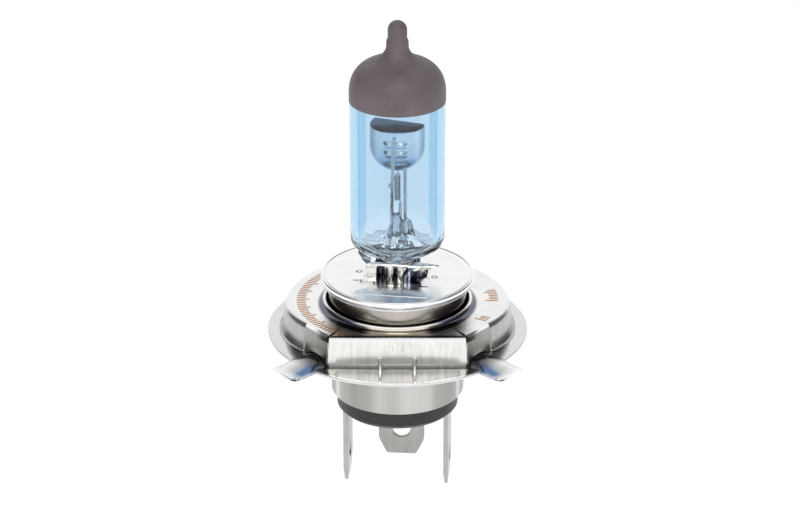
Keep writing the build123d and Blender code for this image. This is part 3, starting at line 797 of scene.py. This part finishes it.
def make_shield():
    """Round-bottomed half cup with an end wall, two pairs of dimples and a thin wall."""
    steps = 22
    outline = [(0.0, SHIELD_TOP), (SHIELD_R - 0.9, SHIELD_TOP)]
    for k in range(1, 7):
        a = math.pi / 2 * k / 6
        outline.append((SHIELD_R - 0.45 + 0.45 * math.sin(a), SHIELD_TOP - 0.45 + 0.45 * math.cos(a)))
    for k in range(1, 12):
        outline.append((SHIELD_R, SHIELD_TOP - 0.45 - (SHIELD_TOP - 0.45 - SHIELD_STRAIGHT) * k / 11))
    for k in range(1, steps + 1):
        a = math.pi / 2 * k / steps
        outline.append((SHIELD_R * math.cos(a), SHIELD_STRAIGHT - SHIELD_R * math.sin(a)))
    segments = 160
    verts, faces = [], []
    for i in range(segments):
        a = TAU * i / segments
        for r, z in outline:
            grow = 0.0
            for z_bump in (34.0, 32.5):
                for side in (-1, 1):
                    x_bump = side * 0.95
                    away = ((r * math.cos(a) - x_bump) / 0.8) ** 2 + ((z - z_bump) / 0.34) ** 2
                    if math.sin(a) < 0:
                        grow += 0.55 * math.exp(-away)
            verts.append(((r + grow) * math.cos(a), (r + grow) * math.sin(a), z))
    count = len(outline)
    for i in range(segments):
        j = (i + 1) % segments
        for k in range(count - 1):
            faces.append((i * count + k, j * count + k, j * count + k + 1, i * count + k + 1))
    obj = build_mesh("shield_cup", verts, faces)
    bm = bmesh.new()
    bm.from_mesh(obj.data)
    normal = Matrix.Rotation(SHIELD_TURN, 3, "Z") @ Vector((0, 1, 0))
    bmesh.ops.bisect_plane(
        bm, geom=bm.verts[:] + bm.edges[:] + bm.faces[:], dist=1e-7,
        plane_co=normal * SHIELD_CHORD_Y * MM, plane_no=normal, clear_outer=True,
    )
    bm.to_mesh(obj.data)
    bm.free()
    mod = obj.modifiers.new("wall", "SOLIDIFY")
    mod.thickness = SHIELD_T * MM
    mod.offset = -1.0
    apply_modifiers(obj)
    bevel(obj, 0.05, 2, 50)
    return place(turn(shade(obj, 50)), "molybdenum", MATERIALS["shield_metal"], "beam_shield")


def coil_points(radius, low, high, turns, per_turn=20):
    count = int(turns * per_turn)
    points = []
    for i in range(count + 1):
        a = TAU * i / per_turn
        points.append((radius * math.cos(a), radius * math.sin(a), low + (high - low) * i / count))
    return points


def make_filament(name, node, low, high, turns, radius, tails):
    coil = wire(name + "_coil", coil_points(radius, low, high, turns), 0.085, smooth=False, sides=2)
    parts = [coil] + [wire(name + "_tail", points, 0.09) for points in tails]
    obj = join(name, parts)
    obj.data.shade_smooth()
    return place(turn(obj), "tungsten", MATERIALS["tungsten"], node)


def make_inner_metal():
    rod_y = -(SHIELD_R + ROD_R)
    support = wire("support", [
        (-3.0, 0, 10.0), (-3.0, 0, 12.6), (-0.85, -0.7, 14.6), (-0.85, -0.7, 18.0), (-0.85, -0.9, 21.0),
        (-0.6, -3.0, 24.5), (-0.4, rod_y, 27.0), (-0.3, rod_y, 30.5), (-0.1, rod_y, 35.3),
    ], ROD_R)
    arm = wire("arm", [
        (0.15, -0.35, 27.75), (-0.1, -1.6, 27.8), (-0.3, -3.6, 27.7), (-0.75, -4.6, 27.55), (-0.95, -4.6, 26.9),
    ], 0.12)
    obj = join("shield_support", [support, arm])
    obj.data.shade_smooth()
    place(turn(obj), "lead_wire", MATERIALS["lead_wire"], "shield_support_rod")

    obj = wire("low_lead", [
        (0, 0, 10.0), (0, 0, 12.6), (1.15, 1.3, 14.8), (1.15, 1.3, 20.0), (1.15, 1.3, 25.0), (1.15, 1.3, 30.1),
    ], ROD_R)
    obj.data.shade_smooth()
    place(turn(obj), "lead_wire", MATERIALS["lead_wire"], "low_beam_lead")

    obj = wire("high_lead", [
        (3.0, 0, 10.0), (3.0, 0, 12.6), (1.2, -0.1, 15.0), (0.45, -0.1, 17.5), (0.45, 0, 20.0), (0.45, 0, 22.2),
    ], ROD_R)
    obj.data.shade_smooth()
    place(turn(obj), "lead_wire", MATERIALS["lead_wire"], "high_beam_lead")

    make_filament("low_filament", "low_beam_filament", 29.9, 34.7, 20, 0.45, [
        [(0, -0.45, 34.7), (0, -0.45, 35.2), (0, -0.6, 35.8)],
        [(0.45, 0, 29.9), (0.5, 0.1, 29.55), (0.8, 0.9, 29.55), (1.05, 1.15, 29.55)],
    ])
    make_filament("high_filament", "high_beam_filament", 22.8, 27.0, 19, 0.42, [
        [(0.42, 0, 22.8), (0.45, 0, 22.4), (0.45, 0, 22.0)],
        [(0.4, 0.1, 27.0), (0.35, -0.2, 27.4), (0.15, -0.35, 27.75)],
    ])


# ---------------------------------------------------------------- clip, disc and sleeve

def spread(count):
    """Evenly spaced values from 0 to 1."""
    return [i / (count - 1) for i in range(count)]


def sheet(name, paths, thickness):
    """Thin sheet through rows of (x, y, z) points, thickened to both sides."""
    size = len(paths[0])
    verts = [p for row in paths for p in row]
    faces = []
    for i in range(len(paths) - 1):
        for k in range(size - 1):
            faces.append((i * size + k, i * size + k + 1, (i + 1) * size + k + 1, (i + 1) * size + k))
    obj = build_mesh(name, verts, faces)
    mod = obj.modifiers.new("wall", "SOLIDIFY")
    mod.thickness = thickness * MM
    mod.offset = 0.0
    return apply_modifiers(obj)


def front_wall(x):
    """Depth of the clip's front wall at x: two hollow fingers with a ridge between them."""
    y = -2.25
    for middle, half, depth in ((-2.45, 0.95, 0.45), (-0.25, 0.5, 0.35)):
        s = (x - middle) / half
        if abs(s) < 1:
            y += depth * math.cos(s * math.pi / 2) ** 2
    return y - 0.18 * math.exp(-((x + 1.06) / 0.25) ** 2)


def make_clip():
    """Formed sheet sleeve round the pinch: front fingers, lip, wing, pointed tab, gusset and feet."""
    t = 0.32
    w, d = PINCH_HALF_W + 0.06, PINCH_HALF_T + 0.06
    outline = rounded([(-w - t, -d - t, 0.5), (w + t, -d - t, 0.5), (w + t, d + t, 0.5), (-w - t, d + t, 0.5)])
    inside = rounded([(-w, -d, 0.25), (w, -d, 0.25), (w, d, 0.25), (-w, d, 0.25)])
    sleeve = prism("sleeve", outline, 5.5, 9.66)
    cut(sleeve, [prism("bore", inside, 4.0, 13.0)])
    parts = [sleeve]
    # Front wall with its fingers; the top rolls forward into a lip.
    columns = []
    for f in spread(73):
        x = -4.75 + 8.1 * f
        y = front_wall(x)
        arch = 0.25 * math.cos((x + 1.2) / 3.6)
        top = 11.95 + arch
        columns.append([
            (x, y - 0.12, 9.74), (x, y, 10.1), (x, y, 10.9), (x, y * 0.6 - 0.86, 11.5), (x, -2.2, top - 0.22),
            (x, -2.45, top), (x, -2.7, top + 0.1), (x, -2.95, top + 0.08),
        ])
    parts.append(sheet("front", columns, 0.26))
    # Inner ledge between the lip and the glass.
    ledge = []
    for f in spread(25):
        x = -4.6 + 7.8 * f
        z = 11.9 + 0.25 * math.cos((x + 1.2) / 3.6)
        ledge.append([(x, -2.2, z), (x, -1.95, z + 0.05), (x, -1.72, z + 0.02)])
    parts.append(sheet("ledge", ledge, 0.2))
    # Left wing under the glass shoulder.
    wing = []
    for f in spread(13):
        x = -4.3 - 2.1 * f
        z = 12.15 + 1.25 * f ** 1.3
        wing.append([
            (x, -2.3 + 1.1 * f, z - 0.5 * (1 - f)), (x, -1.5 + 0.6 * f, z), (x, -0.4 + 0.2 * f, z + 0.1),
        ])
    parts.append(sheet("wing", wing, 0.22))
    # Tongue to the right, ending in a point.
    tongue = []
    for f in spread(17):
        x = 2.0 + 4.95 * f
        half = 0.75 * (1 - f ** 1.6) + 0.05
        z = 12.1 + 0.06 * math.sin(f * 5.0)
        tongue.append([(x, -2.1 - half, z - 0.06), (x, -2.1, z), (x, -2.1 + half, z + 0.04)])
    parts.append(sheet("tongue", tongue, 0.22))
    # Gusset that carries the tongue from the disc.
    gusset = []
    for f in spread(13):
        y = -2.75 - 0.55 * math.sin(f * math.pi) + 0.35 * f
        left = 1.3 + 1.5 * f ** 1.4
        right = 3.3 + 1.75 * f ** 0.9
        row = []
        for s in spread(7):
            row.append((left + (right - left) * s, y - 0.35 * math.sin(s * math.pi) + 0.5 * s, 9.76 + 2.3 * f))
        gusset.append(row)
    parts.append(sheet("gusset", gusset, 0.24))
    # Slanted strap between the right finger and the gusset.
    strap = []
    for f in spread(9):
        x, z = 0.35 + 0.9 * f, 9.8 + 2.0 * f
        strap.append([(x, -2.5, z), (x + 0.4, -2.75, z), (x + 0.8, -2.5, z)])
    parts.append(sheet("strap", strap, 0.2))
    # Feet welded to the disc, with a bowed middle part.
    for outline in (
        [(-3.2, -2.5), (-5.6, -3.4), (-5.9, -3.8), (-5.5, -4.1), (-3.6, -4.4), (-2.9, -4.9), (-2.9, -2.8)],
        [(1.0, -2.8), (1.3, -5.0), (3.9, -5.0), (4.3, -4.5), (4.1, -4.0), (3.2, -3.5), (1.6, -2.7)],
    ):
        parts.append(bevel(prism("foot", rounded([(x, y, 0.25) for x, y in outline]), 9.7, 10.0), 0.1, 3))
    bowed = []
    for f in spread(17):
        x = -2.6 + 3.5 * f
        ripple = 0.10 * math.sin(x * 6.5) + 0.05 * math.sin(x * 13.0)
        bowed.append([(x, -2.3, 10.15 + ripple), (x, -3.4, 9.95 + ripple), (x, -4.6, 9.88), (x, -5.6, 9.82)])
    parts.append(sheet("bowed_foot", bowed, 0.2))
    rear = [(-3.0, d), (-3.0, 5.6), (3.0, 5.6), (3.0, d)]
    parts.append(bevel(prism("rear", rounded([(x, y, 0.3) for x, y in rear]), 9.7, 10.0), 0.1, 3))
    back_wall = prism("back", [(-3.6, d), (3.6, d), (3.6, d + t), (-3.6, d + t)], 9.7, 11.9)
    parts.append(bevel(back_wall, 0.1, 3))
    obj = join("pinch_clip_sheet", parts)
    return place(turn(shade(obj, 40)), "bright_steel", MATERIALS["clip_steel"], "pinch_clip")


def make_disc():
    outline = rounded([
        (0.0, 9.32), (11.36, 9.32, 0.03), (11.36, 8.3, 0.04), (12.1, 8.26, 0.12), (12.34, 8.34, 0.08),
        (12.36, 8.54, 0.04), (12.2, 8.62, 0.03), (12.2, 8.7, 0.03), (12.5, 8.74, 0.12), (12.62, 9.15, 0.3),
        (12.56, 9.6, 0.2), (12.35, 9.76, 0.12), (12.14, 9.72, 0.05), (12.06, 9.58, 0.04), (11.96, 9.7, 0.05),
        (0.0, DISC_TOP),
    ])
    disc = lathe("burner_disc_plate", outline, 320)
    tools = [prism("slot", [(-5.3, -2.1), (5.3, -2.1), (5.3, 2.1), (-5.3, 2.1)], 8.0, 11.0)]
    for side in (-1, 1):
        a = math.radians(-5.3)
        x, y = side * 6.25, -0.7
        centre = (x * math.cos(a) - y * math.sin(a), x * math.sin(a) + y * math.cos(a))
        rings = []
        for radius in (0.56, 0.30):
            rings.append(prism("pip", circle(*centre, radius, 24), 9.45 + (0.56 - radius) * 0.1, 11.0 + radius))
        cut(rings[0], [rings[1]])
        tools.append(rings[0])
    for outline in (
        [(-7.0, -3.75), (-5.9, -3.75), (-5.9, -3.45), (-7.0, -3.45)],
        [(4.1, -5.35), (5.4, -5.35), (5.4, -5.02), (4.1, -5.02)],
    ):
        tools.append(prism("slit", outline, 9.0, 11.0))
    cut(disc, tools)
    # Stamped pad in front, where the clip is welded on.
    pad = prism("pad", rounded([
        (-5.7, -4.8, 0.5), (-6.9, -8.8, 0.5), (6.3, -9.6, 0.8), (5.8, -6.6, 0.9), (5.0, -5.6, 0.4),
    ]), DISC_TOP - 0.05, DISC_TOP + 0.06)
    disc = join("burner_disc_plate", [disc, bevel(pad, 0.05, 3)])
    return place(turn(shade(disc, 30)), "bright_steel", MATERIALS["bright_steel"], "burner_disc")


def make_sleeve():
    outline = rounded([
        (SHELL_R + 0.01, SLEEVE_LOW, 0.05), (SLEEVE_R, SLEEVE_LOW, 0.1), (SLEEVE_R, SLEEVE_HIGH, 0.05),
        (SHELL_R + 0.01, SLEEVE_HIGH, 0.05),
    ])
    obj = lathe("focus_sleeve", outline, 320)
    return place(turn(shade(obj)), "nickel_steel", MATERIALS["nickel_steel"], "adjusting_sleeve")


# ---------------------------------------------------------------- focus ring and flange

def step_between(value, low, high):
    t = min(max((value - low) / (high - low), 0.0), 1.0)
    return t * t * (3 - 2 * t)


def lug_bow(side, reach):
    """Height of a lug's upper face: side runs from -1 at its rear edge to 1 at its front edge, reach from 0 at
    the ring to 1 at its end."""
    side = max(-1.0, min(1.0, side))
    end = 0.45 * math.exp(-((side + 0.35) / 0.5) ** 2) * (1 - side ** 4)
    root = 0.98 * (1 - side ** 2) ** 0.8
    weight = step_between(reach, 0.12, 0.85)
    return max(0.0, root * (1 - weight) + end * weight)


def ring_bottom(angle, radius):
    """Height of the skirt's lower edge; angle is counted from the flat side."""
    degrees = abs(math.degrees(angle))
    x = radius * math.sin(angle)
    if degrees < PLATE_END_DEG:
        edge = 0.46
        if abs(abs(x) - NOTCH_X) < 0.26:
            edge = 1.44
        return edge * (1 - step_between(degrees, 36.6, PLATE_END_DEG))
    side = RING_R * math.sin(math.radians(LUG_ANGLE - degrees)) / (LUG_W / 2)
    back = RING_R * math.sin(math.radians(180 - degrees)) / (BACK_LUG_W / 2)
    for value in (side, back if degrees > 90 else 2.0):
        if abs(value) < 1.12:
            return 0.1 + lug_bow(value / 1.12, 0.0)
    return 0.07 * step_between(degrees, 55.0, 57.0) * (1 - step_between(degrees, 64.0, 69.0))


def ring_column(degrees, low_edge):
    """Skin of the ring at one angle from the flat side, as (radius, height) points from collar to foot."""
    a = math.radians(degrees)
    collar = [
        (11.75, 4.35), (11.75, 5.32), (11.82, 5.44), (11.98, 5.5), (12.14, 5.42), (12.3, 5.24), (12.52, 5.06),
        (12.8, 4.94), (13.1, 4.87), (13.3, 4.85),
    ]
    # Round part: drawn in a little towards the crease.
    pull = 0.95 * min(max((80 - degrees) / 22, 0.0), 1.0) ** 1.5
    top_end = [
        (14.0, 4.85), (15.0, 4.85), (16.0, 4.85), (16.5, 4.85), (16.8, 4.85), (17.0, 4.85), (17.2, 4.85),
        (17.35, 4.85),
    ]
    turn_down = [(17.8, 4.81), (18.15, 4.66), (18.38, 4.42), (18.5, 4.2), (18.58, 3.96), (18.63, 3.66)]
    wall = [
        (18.7, 3.2), (18.76, 2.7), (18.83, 2.1), (18.88, 1.5), (18.92, 0.62), (18.97, 0.3), (18.99, 0.14),
        (19.15, 0.05), (19.5, 0.02),
    ]
    shrink = [(13.3 + (r - 13.3) * (1 - pull / 4.5), z) for r, z in top_end]
    full = shrink + [(r - pull, z) for r, z in turn_down + wall]
    # Side flat: bevel that widens towards the plate, above a nearly upright face.
    edge = 17.25 / math.cos(a - math.radians(48.0))
    low = 3.0 + 1.0 * min(max((57.5 - degrees) / 20, 0.0), 1.0)
    face = 1.0 / math.cos(a - math.radians(56.5))
    flat = [(13.3 + (edge - 13.3) * k / 7.5, 4.85) for k in range(1, 8)] + [(edge, 4.85)]
    for w in (0.12, 0.35, 0.6, 0.8, 0.92, 1.0):
        flat.append((edge + (face * (17.89 - 0.12 * low) - edge) * w ** 0.9, 4.85 - (4.85 - low) * w))
    for k, z in enumerate((3.2, 2.7, 2.1, 1.5, 0.62, 0.3, 0.12, 0.035, 0.0)):
        height = low * (4 - k) / 5 + 1.5 * (k + 1) / 5 if k < 4 else z
        flat.append((face * (17.89 - 0.12 * max(height, 0.3)), height))
    # Front plate: groove, bend and upright face.
    chord = [
        (13.5, 4.85), (13.7, 4.85), (13.85, 4.84), (14.1, 4.83), (14.38, 4.84), (14.44, 4.86), (14.52, 4.87),
        (14.66, 4.87),
        (14.76, 4.82), (14.82, 4.72), (14.86, 4.58), (14.88, 4.38), (14.9, 4.1), (14.94, 3.66),
        (14.98, 3.2), (15.03, 2.7), (15.09, 2.1), (15.15, 1.5), (15.23, 0.62), (15.25, 0.3), (15.26, 0.12),
        (15.26, 0.035), (15.26, 0.0),
    ]
    column = [(r, z, 0.0) for r, z in collar]
    if degrees > 60.0:
        flat, chord = full, full
    for (c, z_c), (f, z_f), (r, z_r) in zip(chord, flat, full):
        half = 11.0 + 0.35 * (4.0 - min(z_c, 4.0)) / 4.0
        corner = math.degrees(math.atan2(half, c))
        plate = 1 - step_between(degrees, corner - 0.12, corner + 0.12) if degrees < 60.0 else 0.0
        round_part = step_between(degrees, 57.3, 58.3)
        radius = f + (r - f) * round_part
        height = z_f + (z_r - z_f) * round_part
        radius += (c / math.cos(a) - radius) * plate if plate else 0.0
        height += (z_c - height) * plate
        # Narrow gap at each end of the plate.
        if z_c < 4.3:
            radius -= 0.25 * math.exp(-((degrees - corner - 0.35) / 0.3) ** 2)
        column.append((radius, height, plate))
    out = []
    for r, z, plate in column:
        if z < 1.5:
            z = low_edge + z * (1.5 - low_edge) / 1.5
            if r > RING_R and low_edge > 0.02:
                r -= (r - RING_R) * min(low_edge / 0.1, 1.0)
        x = r * math.sin(a)
        if plate > 0.5 and 0.6 < z < 4.2 and r > 15:
            # Raised field inside a soft border.
            r += 0.09 * step_between(min(3.75 - z, z - 0.85, 10.1 - abs(x)), 0.0, 0.35)
        out.append((r, z))
    return out


def make_ring():
    """Dished ring: round, with a flat front plate and a bevelled flat on each side of it."""
    count_a = 2160
    rows = []
    for i in range(count_a):
        a = TAU * i / count_a - math.pi
        degrees = abs(math.degrees(a))
        low_edge = ring_bottom(a, 15.3 if degrees < PLATE_END_DEG else RING_R)
        foot = 0.02 if degrees < PLATE_END_DEG else low_edge
        skin = ring_column(degrees, low_edge)
        inner = [(max(r - RING_WALL, 12.05), z - RING_WALL if z > 4.0 else z) for r, z in skin[4:]]
        last = (skin[-1][0] - 0.4, low_edge)
        inner[-1] = (inner[-1][0], foot)
        points = skin + [last] + inner[::-1]
        rows.append([(r * math.sin(a), -r * math.cos(a), z) for r, z in points])
    obj = sweep_rows("focus_ring_dish", rows)
    return place(shade(obj, 28), "satin_steel", MATERIALS["ring_steel"], "focus_ring")


def make_lug(width, mirror):
    """Bowed locating lug on the -Y side; its front edge is at +x unless mirrored."""
    half = width / 2
    across, along = 40, 30
    rows = []
    for k in range(along + 1):
        reach = k / along
        top, low = [], []
        for u in range(across + 1):
            side = 2 * u / across - 1
            # The front corner of the end is rounded.
            corner = max(0.0, side * half - (half - 1.0)) * (0 if mirror is None else 1)
            end = math.sqrt(LUG_R ** 2 - (side * half) ** 2) - (1.0 - math.sqrt(max(0.0, 1.0 - corner ** 2)))
            y_here = -(18.2 + (end - 18.2) * reach)
            bow = lug_bow(side, reach) if mirror is not None else lug_bow(side, 0.6 * reach)
            x = half * side * (-1 if mirror else 1)
            top.append((x, y_here, bow))
            depth = FLANGE_T if reach > 0.46 else FLANGE_T + bow
            low.append((x, y_here, bow - depth))
        rows.append(top + low[::-1])
    return build_mesh("lug", *loft_rows(rows))


def make_flange():
    """Flange plate with three lugs and two ribs at the flat side."""
    outline = rounded([
        (SHELL_R + 0.01, -FLANGE_T, 0.05), (FLANGE_R, -FLANGE_T, 0.12), (FLANGE_R, 0.0, 0.12),
        (SHELL_R + 0.01, 0.0, 0.05),
    ])
    plate = lathe("flange_plate_sheet", outline, 360)
    lugs = []
    for angle, width, mirror in (
        (-LUG_ANGLE, LUG_W, False), (LUG_ANGLE, LUG_W, True), (180.0, BACK_LUG_W, None),
    ):
        lugs.append(turn(make_lug(width, mirror), math.radians(angle)))
    for side in (-1, 1):
        x = side * NOTCH_X
        outline = [
            (-14.2, -0.2), (-14.2, 1.25), (-15.6, 1.3), (-16.2, 0.95), (-17.5, 0.55), (-20.95, 0.3),
            (-21.25, -0.2),
        ]
        rib = prism("rib", [(y, z) for y, z in outline], x - 0.16, x + 0.16, "X")
        lugs.append(bevel(rib, 0.07, 3, 30))
    cut(plate, lugs, "UNION")
    bevel(plate, 0.08, 2, 45)
    return place(shade(plate, 32), "satin_steel", MATERIALS["flange_steel"], "flange_plate")


def make_marks():
    """Plain gold-brown tick scale etched on the ring in place of any lettering."""
    parts = []
    spans = ((-150, -31), (60, 66), (88, 104))
    for low, high in spans:
        degrees = low
        index = 0
        while degrees < high:
            length = 1.5 if index % 5 else 2.1
            outline = []
            for r, w in ((16.6, -0.16), (16.6, 0.16), (16.6 - length, 0.16), (16.6 - length, -0.16)):
                outline.append((w, -r))
            tick = prism("tick", outline, 4.846, 4.862)
            turn(tick, math.radians(degrees))
            parts.append(tick)
            degrees += MARK_PITCH_DEG
            index += 1
    obj = join("ring_scale_marks", parts)
    mat = metal("etched_gold", (0.36, 0.16, 0.045), (0.55, 0.29, 0.10), (0.35, 0.5), 1.0)
    return place(obj, "satin_steel", mat)


# ---------------------------------------------------------------- base

def make_shell():
    outline = rounded([
        (SHELL_R - SHELL_T, SHELL_TOP, 0.05), (SHELL_R - SHELL_T, SHELL_BOTTOM + 0.4, 0.05),
        (10.12, SHELL_BOTTOM + 0.4, 0.05), (10.12, SHELL_BOTTOM, 0.12), (SHELL_R, SHELL_BOTTOM, 0.25),
        (SHELL_R, SHELL_TOP, 0.08),
    ], steps=7)
    obj = lathe("base_shell_cup", outline, 320)
    return place(turn(shade(obj)), "brushed_steel", MATERIALS["brushed_steel"], "base_shell")


def make_blade(name):
    """Spade blade with softened edges and a latch hole, in the XZ plane on the axis."""
    half, end = BLADE_W / 2, BLADE_END_W / 2
    outline = rounded([
        (-half, BLADE_TOP), (-half, BLADE_TIP + BLADE_TAPER, 2.4), (-end, BLADE_TIP, 0.5),
        (end, BLADE_TIP, 0.5), (half, BLADE_TIP + BLADE_TAPER, 2.4), (half, BLADE_TOP),
    ])
    plate = prism(name, outline, -BLADE_T / 2, BLADE_T / 2, "Y")
    hole = circle(0.0, BLADE_HOLE_Z, BLADE_HOLE_R, 48)
    cut(plate, [prism("hole", hole, -2.0, 2.0, "Y")])
    bevel(plate, 0.14, 3, 50)
    # The tip is coined thinner towards its end.
    for v in plate.data.vertices:
        depth = max(0.0, (BLADE_TIP + 1.6) - v.co.z / MM) / 1.6
        v.co.y *= 1 - 0.35 * depth
    return plate


def make_terminals():
    quarter = math.pi / 2
    for name, node, x, y, spin in (
        ("left_blade", "terminal_left", -SIDE_BLADE_X, 0.0, quarter),
        ("right_blade", "terminal_right", SIDE_BLADE_X, 0.0, quarter),
        ("middle_blade", "terminal_middle", 0.0, MIDDLE_BLADE_Y, 0.0),
    ):
        obj = turn(make_blade(name), spin)
        obj.data.transform(Matrix.Translation((x * MM, y * MM, 0)))
        # The middle blade takes the darker copy of the blade metal: painted shade.
        mat = MATERIALS["middle_blade" if name == "middle_blade" else "blade_metal"]
        place(turn(shade(obj, 30)), "blade_metal", mat, node)


def keep_cad_nodes():
    """CAD pieces whose shape already serves get their finished material."""
    slots = {s["node"]: s["material_slot"] for s in frame["record"]["subparts"]}
    for node in (
        "insulator", "outer_wire_common", "outer_wire_low", "outer_wire_high", "wire_welds",
        "seal_foil_common", "seal_foil_low", "seal_foil_high",
    ):
        obj = frame["nodes"][node]
        obj.data.materials.clear()
        obj.data.materials.append(MATERIALS[slots[node]])


# ---------------------------------------------------------------- stage

def make_floor():
    """Plain white floor under the blades."""
    size, z = 1500.0, BLADE_TIP - 0.02
    rows = [[(-size, -size, z - 2), (size, -size, z - 2), (size, size, z - 2), (-size, size, z - 2)],
            [(-size, -size, z), (size, -size, z), (size, size, z), (-size, size, z)]]
    floor = build_mesh("floor", *loft_rows(rows))
    mat, _, shader = new_material("floor", Roughness=0.9)
    shader.inputs["Base Color"].default_value = (0.12, 0.12, 0.12, 1)
    shader.inputs["Emission Color"].default_value = (1, 1, 1, 1)
    shader.inputs["Emission Strength"].default_value = 1.0
    floor.data.materials.append(mat)


def make_world():
    """Studio tent: bright in front, behind and overhead, dark at both sides and in a strip near the zenith."""
    world = bpy.data.worlds.new("studio")
    bpy.context.scene.world = world
    world.use_nodes = True
    tree = world.node_tree
    coords = tree.nodes.new("ShaderNodeTexCoord")
    split = tree.nodes.new("ShaderNodeSeparateXYZ")
    tree.links.new(coords.outputs["Generated"], split.inputs["Vector"])

    def math_node(operation, *sources):
        node = tree.nodes.new("ShaderNodeMath")
        node.operation = operation
        for socket, source in zip(node.inputs, sources):
            if isinstance(source, (int, float)):
                socket.default_value = source
            else:
                tree.links.new(source, socket)
        return node.outputs[0]

    x, y, z = split.outputs
    # Over the top: 0 at the horizon behind, 0.5 at the zenith, 1 at the horizon in front.
    over = math_node("DIVIDE", math_node("ARCTAN2", z, y), math.pi)
    arch = ramp(tree, over, [
        (0.0, 1.0), (0.335, 1.0), (0.375, (0.13, 0.135, 0.145)), (0.455, (0.13, 0.135, 0.145)),
        (0.5, (1.15, 1.14, 1.12)), (0.86, (0.95, 0.945, 0.93)), (1.0, (0.8, 0.79, 0.77)),
    ])
    # Around: 0 in front, 1 behind.
    bearing = math_node("ARCTAN2", x, math_node("MULTIPLY", y, -1.0))
    around = math_node("DIVIDE", math_node("ABSOLUTE", bearing), math.pi)
    sides = ramp(tree, around, [(0.27, 0.0), (0.36, 1.0), (0.73, 1.0), (0.80, 0.0)])
    height = ramp(tree, z, [(0.0, 0.25), (0.1, 1.0), (0.7, 1.0), (0.86, 0.0)])
    dark = ramp(tree, z, [(0.1, (0.09, 0.08, 0.07)), (0.70, (0.08, 0.08, 0.09)), (0.80, (0.06, 0.14, 0.30))])
    mask = math_node("MULTIPLY", sides, height)
    tree.links.new(blend(tree, mask, arch, dark), tree.nodes["Background"].inputs["Color"])


def aim_at(obj, target):
    """Turns a lamp or camera towards a point."""
    obj.rotation_euler = (Vector(target) - obj.location).to_track_quat("-Z", "Y").to_euler()


def make_light():
    light = bpy.data.lights.new("front_softbox", "AREA")
    light.shape = "RECTANGLE"
    light.size, light.size_y = 0.35, 0.3
    light.energy = 0.8
    obj = bpy.data.objects.new("front_softbox", light)
    obj.location = (0.0, -0.45, 0.55)
    aim_at(obj, (0, 0, 0.01))
    bpy.context.scene.collection.objects.link(obj)


def make_camera():
    camera = bpy.data.cameras.new("camera")
    camera.sensor_width = 36.0
    camera.lens = 123.7
    obj = bpy.data.objects.new("camera", camera)
    obj.location = (0.00041, -0.4096, 0.1973)
    aim_at(obj, (0.00041, 0, 0.01093))
    bpy.context.scene.collection.objects.link(obj)
    bpy.context.scene.camera = obj


bpy.context.scene.view_settings.view_transform = "Standard"
make_camera()
make_floor()
make_world()
make_light()
make_glass()
make_coating()
make_shield()
make_inner_metal()
make_clip()
make_disc()
make_sleeve()
make_ring()
make_marks()
make_flange()
make_shell()
make_terminals()
keep_cad_nodes()
